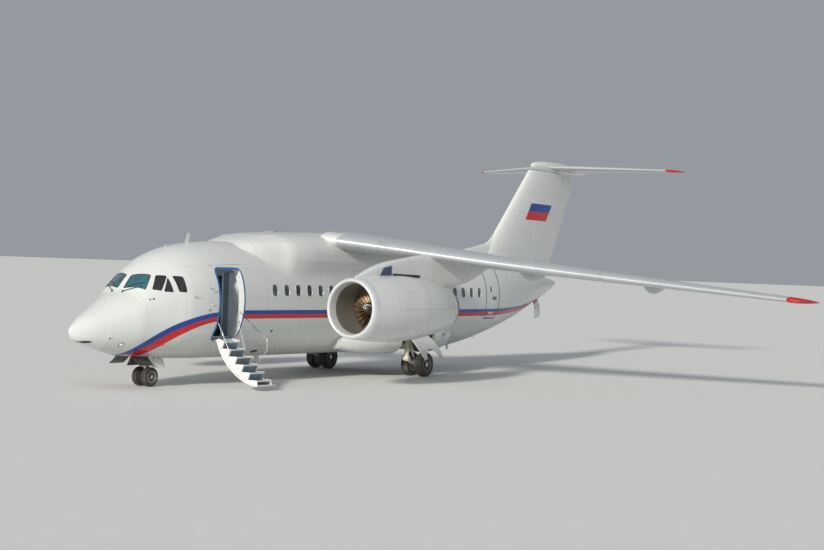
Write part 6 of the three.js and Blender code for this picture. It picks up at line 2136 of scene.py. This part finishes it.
@dataclass
class Tail:
    """Fin with its rudder and fillet, the tailplane on top with its elevators and bullet, and the tail doors."""

    foot: float = 3.4
    head: float = 7.74
    lead_head: float = 24.17
    lead_slope: float = 0.949
    back_head: float = 28.12
    back_slope: float = 0.549
    thickness: float = 0.1
    rudder_start: float = 0.7
    rudder: tuple[float, float] = (4.12, 7.56)
    dorsal = ((18.9, 4.3), (19.6, 4.42), (20.4, 4.56), (21.0, 4.68), (21.7, 5.14), (22.6, 6.03))
    plane_z: float = 7.95
    plane_lead: tuple[float, float] = (25.35, 27.85)
    plane_chord: tuple[float, float] = (2.95, 1.15)
    plane_half: float = 4.67
    plane_thickness: float = 0.095
    elevator_start: float = 0.7
    elevator: tuple[float, float] = (0.3, 4.3)
    bullet = ((24.3, 0.0), (24.42, 0.09), (24.7, 0.16), (25.4, 0.225), (26.6, 0.24), (27.8, 0.19), (28.7, 0.09),
              (29.13, 0.0))

    def build(self) -> None:
        """Make the fin, the tailplane and the doors under the tail."""
        self.fin()
        self.tailplane()
        self.top()
        self.doors()

    def fin_place(self, z: Array, t: Array, face: int) -> Array:
        """The fin's point at a height, a chord fraction and a face."""
        lead = self.lead_head - (self.head - z) * self.lead_slope
        back = self.back_head - (self.head - z) * self.back_slope
        chord = back - lead
        _, half = blade(t, 0, self.thickness, chord)
        return np.stack(np.broadcast_arrays(lead + chord * t, face * (half + 0.003), z), -1)

    def fin_loops(self, span: tuple[float, float], rows: int, chord: tuple[float, float]) -> Array:
        """Section loops up a stretch of the fin."""
        zs = np.linspace(*span, rows)
        return np.array([section_loop(*chord, lambda t, face, z=z: self.fin_place(np.full(len(t), z), t, face))
                         for z in zs])

    def fin(self) -> None:
        """The fin in front of and above its rudder, with the swept fillet at its foot."""
        body = Shape().grid(self.fin_loops((self.foot + 0.3, self.head), 44, (0, self.rudder_start)))
        for span in ((self.foot + 0.5, self.rudder[0]), (self.rudder[1], self.head)):
            body.grid(self.fin_loops(span, 6, (self.rudder_start + 0.0005, 1)))
        table = np.array(self.dorsal)
        ridge = Curve(table[:, 0], table[:, 1])
        x = np.linspace(18.9, 23.6, 60)
        top = np.where(x < 22.6, ridge(x), 6.03 + (x - 22.6) * 1.0)
        top = np.minimum(top, 6.4)
        half = 0.06 + 0.024 * np.clip((x - 18.9) / 0.75, 0, 5)
        up = np.linspace(0, 1, 16)
        rows = []
        for xi, ti, hi in zip(x, top, half):
            low = min(float(BODY.crown(xi)), 4.36) - 0.35
            width = hi * (1 - up ** 2.2) ** 0.5 + 0.05 * (1 - up) ** 3
            z = low + (ti - low) * up
            side = np.stack([np.full(16, xi), width, z], -1)
            rows.append(np.concatenate([side, (side * (1, -1, 1))[::-1][1:]]))
        body.grid(np.array(rows))
        YARD.publish("fin", body, "airframe", (Finish.FIN,), ("fin",), 40)
        flap = Shape().grid(self.fin_loops((self.rudder[0] + 0.006, self.rudder[1] - 0.006), 30,
                                           (self.rudder_start + 0.0025, 1)))
        YARD.publish("rudder", flap, "airframe", (Finish.FIN,), ("rudder",), 40)

    def plane_place(self, side: int, y: Array, t: Array, face: int) -> Array:
        """The tailplane's point at a distance out, a chord fraction and a face."""
        part = y / self.plane_half
        lead = self.plane_lead[0] + (self.plane_lead[1] - self.plane_lead[0]) * part
        chord = self.plane_chord[0] + (self.plane_chord[1] - self.plane_chord[0]) * part
        _, half = blade(t, 0, self.plane_thickness, chord)
        return np.stack(np.broadcast_arrays(lead + chord * t, side * y, self.plane_z + face * (half + 0.002)), -1)

    def plane_loops(self, side: int, span: tuple[float, float], rows: int, chord: tuple[float, float]) -> Array:
        """Section loops along a stretch of the tailplane."""
        return np.array([section_loop(*chord, lambda t, face, y=y: self.plane_place(side, np.full(len(t), y), t, face))
                         for y in np.linspace(*span, rows)])

    def tailplane(self) -> None:
        """Tailplane, elevators and rounded red tips."""
        plane = Shape()
        for side, name in SIDES:
            plane.grid(self.plane_loops(side, (0, 4.4), 30, (0, self.elevator_start)))
            for span in ((0, self.elevator[0] - 0.006), (self.elevator[1] + 0.006, 4.4)):
                plane.grid(self.plane_loops(side, span, 4, (self.elevator_start + 0.0006, 1)))
            rise = np.linspace(0, math.pi / 2, 12)
            rows = []
            for angle in rise:
                y = 4.4 + (self.plane_half - 4.4) * math.sin(angle)
                loop = self.plane_loops(side, (y, y), 1, (0, 1))[0]
                back = loop[:, 0].max()
                loop[:, 2] = self.plane_z + (loop[:, 2] - self.plane_z) * math.cos(angle) ** 0.6
                loop[:, 0] = back - (back - loop[:, 0]) * (0.4 + 0.6 * math.cos(angle) ** 0.8)
                rows.append(loop)
            rows[-1] = np.broadcast_to(rows[-1].mean(0), rows[-1].shape)
            plane.grid(np.array(rows))
            elevator = Shape().grid(self.plane_loops(side, (self.elevator[0] + 0.002, self.elevator[1] - 0.002), 24,
                                                     (self.elevator_start + 0.003, 1)))
            YARD.publish(f"elevator_{name}", elevator, "airframe", (Finish.TAIL,), (f"elevator_{name}",), 40)
        YARD.publish("tailplane", plane, "airframe", (Finish.TAIL,), ("tailplane",), 40)

    def top(self) -> None:
        """The bullet where fin and tailplane meet."""
        bullet = Shape().turned(self.bullet, (0, 0, self.plane_z), "x", 40, 0, False, 8)
        YARD.publish("tail_bullet", bullet, "airframe", (Finish.WHITE,), ("tail_bullet",), 60)

    def doors(self) -> None:
        """The two curved doors that hang open under the tail on their hinge barrels."""
        for side, name in SIDES:
            y0, z0 = 0.664, float(self.under(23.875, 0.664))
            xs = np.linspace(23.4, 24.35, 12)
            ys = np.linspace(0.004, 0.655, 14)
            top, low = [], []
            for y in ys:
                z = np.array([float(self.under(x, y)) for x in xs])
                top.append(np.stack([xs, np.full(12, y), z], -1))
            outer = np.array(top)
            inner = outer + (0, -0.004, 0.03)
            grid = np.concatenate([outer, inner[::-1]])
            door = Shape().grid(np.transpose(grid, (1, 0, 2))[:, :, :])
            angle = math.radians(78)
            turn = (Matrix.Translation((0, y0, z0)) @ Matrix.Rotation(angle, 4, "X")
                    @ Matrix.Translation((0, -y0, -z0)))
            door.moved(turn)
            for part in (0.22, 0.78):
                x = 23.4 + 0.95 * part
                door.turned([[x - 0.03, 0], [x - 0.03, 0.01], [x + 0.03, 0.01], [x + 0.03, 0]], (0, y0, z0), "x", 16, 0)
            YARD.publish(f"tail_door_{name}", door.mirrored(side), f"tail_access_{name}", (Finish.SKIN,),
                         (f"tail_door_{name}",), 40, 0.002)

    def under(self, x: float, y: float) -> float:
        """The height of the skin's underside at a station and distance out."""
        widest, belly, half = float(BODY.widest(x)), float(BODY.belly(x)), float(BODY.half(x))
        filled = max(0.0, 1 - (abs(y) / half) ** BODY.exponent)
        return widest - (widest - belly) * filled ** (1 / BODY.exponent)


# Small parts

@dataclass
class Fittings:
    """Probes, aerials, lenses and marks on the skin."""

    def build(self) -> None:
        """Make the fittings of the nose, the crown, the belly and the tail."""
        self.probes()
        self.aerials()
        self.lenses()
        self.exhaust()

    def probes(self) -> None:
        """Pitot tubes on their masts, vanes and static plates on both sides of the nose."""
        out = Shape()
        for side, _ in SIDES:
            place = BODY.on_side(side)
            for x, z in ((3.77, 2.85), (3.8, 2.4)):
                t = np.linspace(0, 1, 12)
                arm = place(x + 0.1 * t ** 2, z - 0.02 * t, 0.0)
                lift = place(x + 0.1 * t ** 2, z - 0.02 * t, 0.09)
                path = arm + (lift - arm) * np.sin(t * math.pi / 2)[:, None]
                out.tube(path, 0.012, 12, 0)
                head = lift[-1] + np.linspace((0.03, 0, 0), (-0.2, 0, 0), 6)
                out.tube(head, np.array([0.006, 0.013, 0.013, 0.012, 0.01, 0.007]), 14, 0)
            for x, z, size in ((2.1, 2.519, 0.028), (2.008, 2.5, 0.024), (3.77, 2.23, 0.04)):
                out.pillow(place, squircle(size, size, 2, 24) + (x, z), 0.004, -0.004, 1, 2)
            vane = place(np.linspace(3.2, 3.34, 6), np.full(6, 2.6), 0.05)
            out.tube(np.concatenate([place(np.array([3.2]), np.array([2.6]), 0.0), vane]),
                     np.array([0.012, 0.012, 0.011, 0.009, 0.008, 0.006, 0.004]), 10, 0)
        YARD.publish("nose_probes", out, "airframe", (Finish.POLISHED, Finish.STEEL), (), 50)

    def aerials(self) -> None:
        """Blade aerials on the crown and under the belly."""
        out = Shape()
        rows = ((4.35, 1, 0.32, 0.24), (3.5, 1, 0.14, 0.2), (6.3, 1, 0.16, 0.2), (18.42, -1, 0.26, 0.24),
                (7.6, -1, 0.22, 0.26), (20.2, -1, 0.2, 0.22))
        for x, way, height, chord in rows:
            base = float(BODY.crown(x) if way > 0 else BODY.belly(x))
            t = np.linspace(0, 1, 10)
            loop = []
            for part in np.linspace(0, 1, 8):
                length = chord * (1 - 0.5 * part)
                lead = x + 0.35 * height * part
                half = 0.016 * (1 - 0.6 * part) * np.sin(np.clip(t, 0.02, 0.98) * math.pi) ** 0.7
                side = np.stack([lead + length * t, half, np.full(10, base + way * (height * part - 0.02))], -1)
                loop.append(np.concatenate([side, (side * (1, -1, 1))[::-1]]))
            out.grid(np.array(loop))
        YARD.publish("aerials", out, "airframe", (Finish.WHITE,), (), 50)

    def lenses(self) -> None:
        """Lamps in the skin: round clear lenses and small red lenses by the nose, dark marks, and a rail above the
        doorway.
        """
        clear, red, dark = Shape(), Shape(), Shape()
        for side, _ in SIDES:
            place = BODY.on_side(side)
            clear.pillow(place, squircle(0.045, 0.045, 2, 28) + (1.355, 1.248), 0.006, -0.02, 0, 4)
            dark.pillow(place, squircle(0.045, 0.035, 2.4, 24) + (6.68, 1.59), 0.003, -0.003, 0, 2)
            dark.pillow(place, squircle(0.022, 0.018, 2, 20) + (0.974, 1.422), 0.004, -0.004, 0, 2)
            dark.pillow(place, squircle(0.15, 0.03, 2.4, 28) + (0.42, 1.32), 0.003, -0.003, 0, 2)
            dark.pillow(place, squircle(0.064, 0.064, 2, 28) + (1.355, 1.248), 0.003, -0.02, 0, 4)
            red.pillow(place, squircle(0.035, 0.026, 2, 20) + (2.585, 1.236), 0.01, -0.006, 0, 2)
            dark.pillow(place, squircle(0.13, 0.05, 2, 28) + (6.635, 0.95), 0.003, -0.003, 0, 2)
            for x, z in ((9.24, 3.48), (10.02, 3.87)):
                dark.pillow(place, squircle(0.05, 0.028, 3, 20) + (x, z), 0.003, -0.003, 0, 2)
            rail = np.linspace(3.93, 5.29, 24)
            clear.tube(place(rail, 3.49 + 0.07 * (rail - 3.93) / 1.36, 0.008), 0.009, 8, 1)
        YARD.publish("clear_lenses", clear, "airframe", (Finish.CLEAR_LENS, Finish.WHITE), (), 60)
        YARD.publish("red_lenses", red, "airframe", (Finish.RED_LENS,), (), 60)
        YARD.publish("dark_marks", dark, "airframe", (Finish.BLACK,), (), 60)

    def exhaust(self) -> None:
        """The small exhaust ring at the end of the tail cone."""
        pipe = Shape().turned([[26.3, 0.06], [26.3, 0.13], [26.37, 0.12], [26.385, 0.115], [26.385, 0.1],
                               [26.33, 0.09]], (0, 0, 3.19), "x", 40, 0, True)
        YARD.publish("tail_exhaust", pipe, "airframe", (Finish.NOZZLE,), (), 50)


@dataclass
class Stage:
    """The pale floor, the lights and the camera."""

    focal: float = 64.17
    place: tuple[float, float, float] = (-27.209, -29.819, 3.638)
    yaw: float = 0.968
    pitch: float = 0.005
    roll: float = 0.036
    light_from: tuple[float, float, float] = (-0.91, -0.17, 0.38)

    def build(self) -> None:
        """Lay the floor, hang the lights and set the camera."""
        self.floor()
        self.lights()
        self.camera()

    def floor(self) -> None:
        """One broad pale floor."""
        mesh = Shape().block((-1300, -1300, -0.3), (1300, 1300, -0.001), 0).mesh("floor")
        mesh.materials.append(Coated("studio_floor", (0.85, 0.85, 0.83), 0.8, 0.6, shade=0.97, soil=0.0).build())
        mesh.transform(Matrix.Translation((-STATION_ZERO, 0, 0)))
        mesh.shade_flat()
        piece = bpy.data.objects.new("floor", mesh)
        bpy.context.scene.collection.objects.link(piece)

    def lights(self) -> None:
        """A broad low sun from the nose and an even pale sky."""
        lamp = bpy.data.lights.new("sun", "SUN")
        lamp.energy, lamp.angle, lamp.color = 3.1, math.radians(6), (1.0, 0.95, 0.87)
        sun = bpy.data.objects.new("sun", lamp)
        sun.rotation_euler = Vector(self.light_from).to_track_quat("Z", "Y").to_euler()
        bpy.context.scene.collection.objects.link(sun)
        world = bpy.data.worlds.new("studio")
        world.use_nodes = True
        back = world.node_tree.nodes["Background"]
        back.inputs["Color"].default_value = (0.8, 0.87, 0.95, 1)
        back.inputs["Strength"].default_value = 0.37
        bpy.context.scene.world = world
        bpy.context.scene.view_settings.view_transform = "Standard"

    def camera(self) -> None:
        """The photograph's own place, direction and lens."""
        ahead = Vector((math.sin(self.yaw) * math.cos(self.pitch), math.cos(self.yaw) * math.cos(self.pitch),
                        -math.sin(self.pitch)))
        right = Vector((math.cos(self.yaw), -math.sin(self.yaw), 0))
        up = right.cross(ahead)
        c, s = math.cos(self.roll), math.sin(self.roll)
        side, top = c * right + s * up, -s * right + c * up
        data = bpy.data.cameras.new("camera")
        data.lens, data.sensor_width, data.clip_end = self.focal, 36, 2000
        camera = bpy.data.objects.new("camera", data)
        matrix = Matrix((side, top, -ahead)).transposed().to_4x4()
        x, y, z = self.place
        matrix.translation = (x - STATION_ZERO, y, z)
        camera.matrix_world = matrix
        bpy.context.scene.collection.objects.link(camera)
        bpy.context.scene.camera = camera


def main() -> None:
    """Build every sub-assembly and the stage."""
    logging.basicConfig(level=logging.INFO, format="%(message)s")
    for part in (Hull(), Vestibule(), Airstair(), Wing(), WingFairing(), Engine(), GearFairing(), NoseGear(),
                 MainGear(), Tail(), Fittings(), Stage()):
        log.info("building %s", type(part).__name__)
        part.build()


if __name__ == "__main__":
    main()
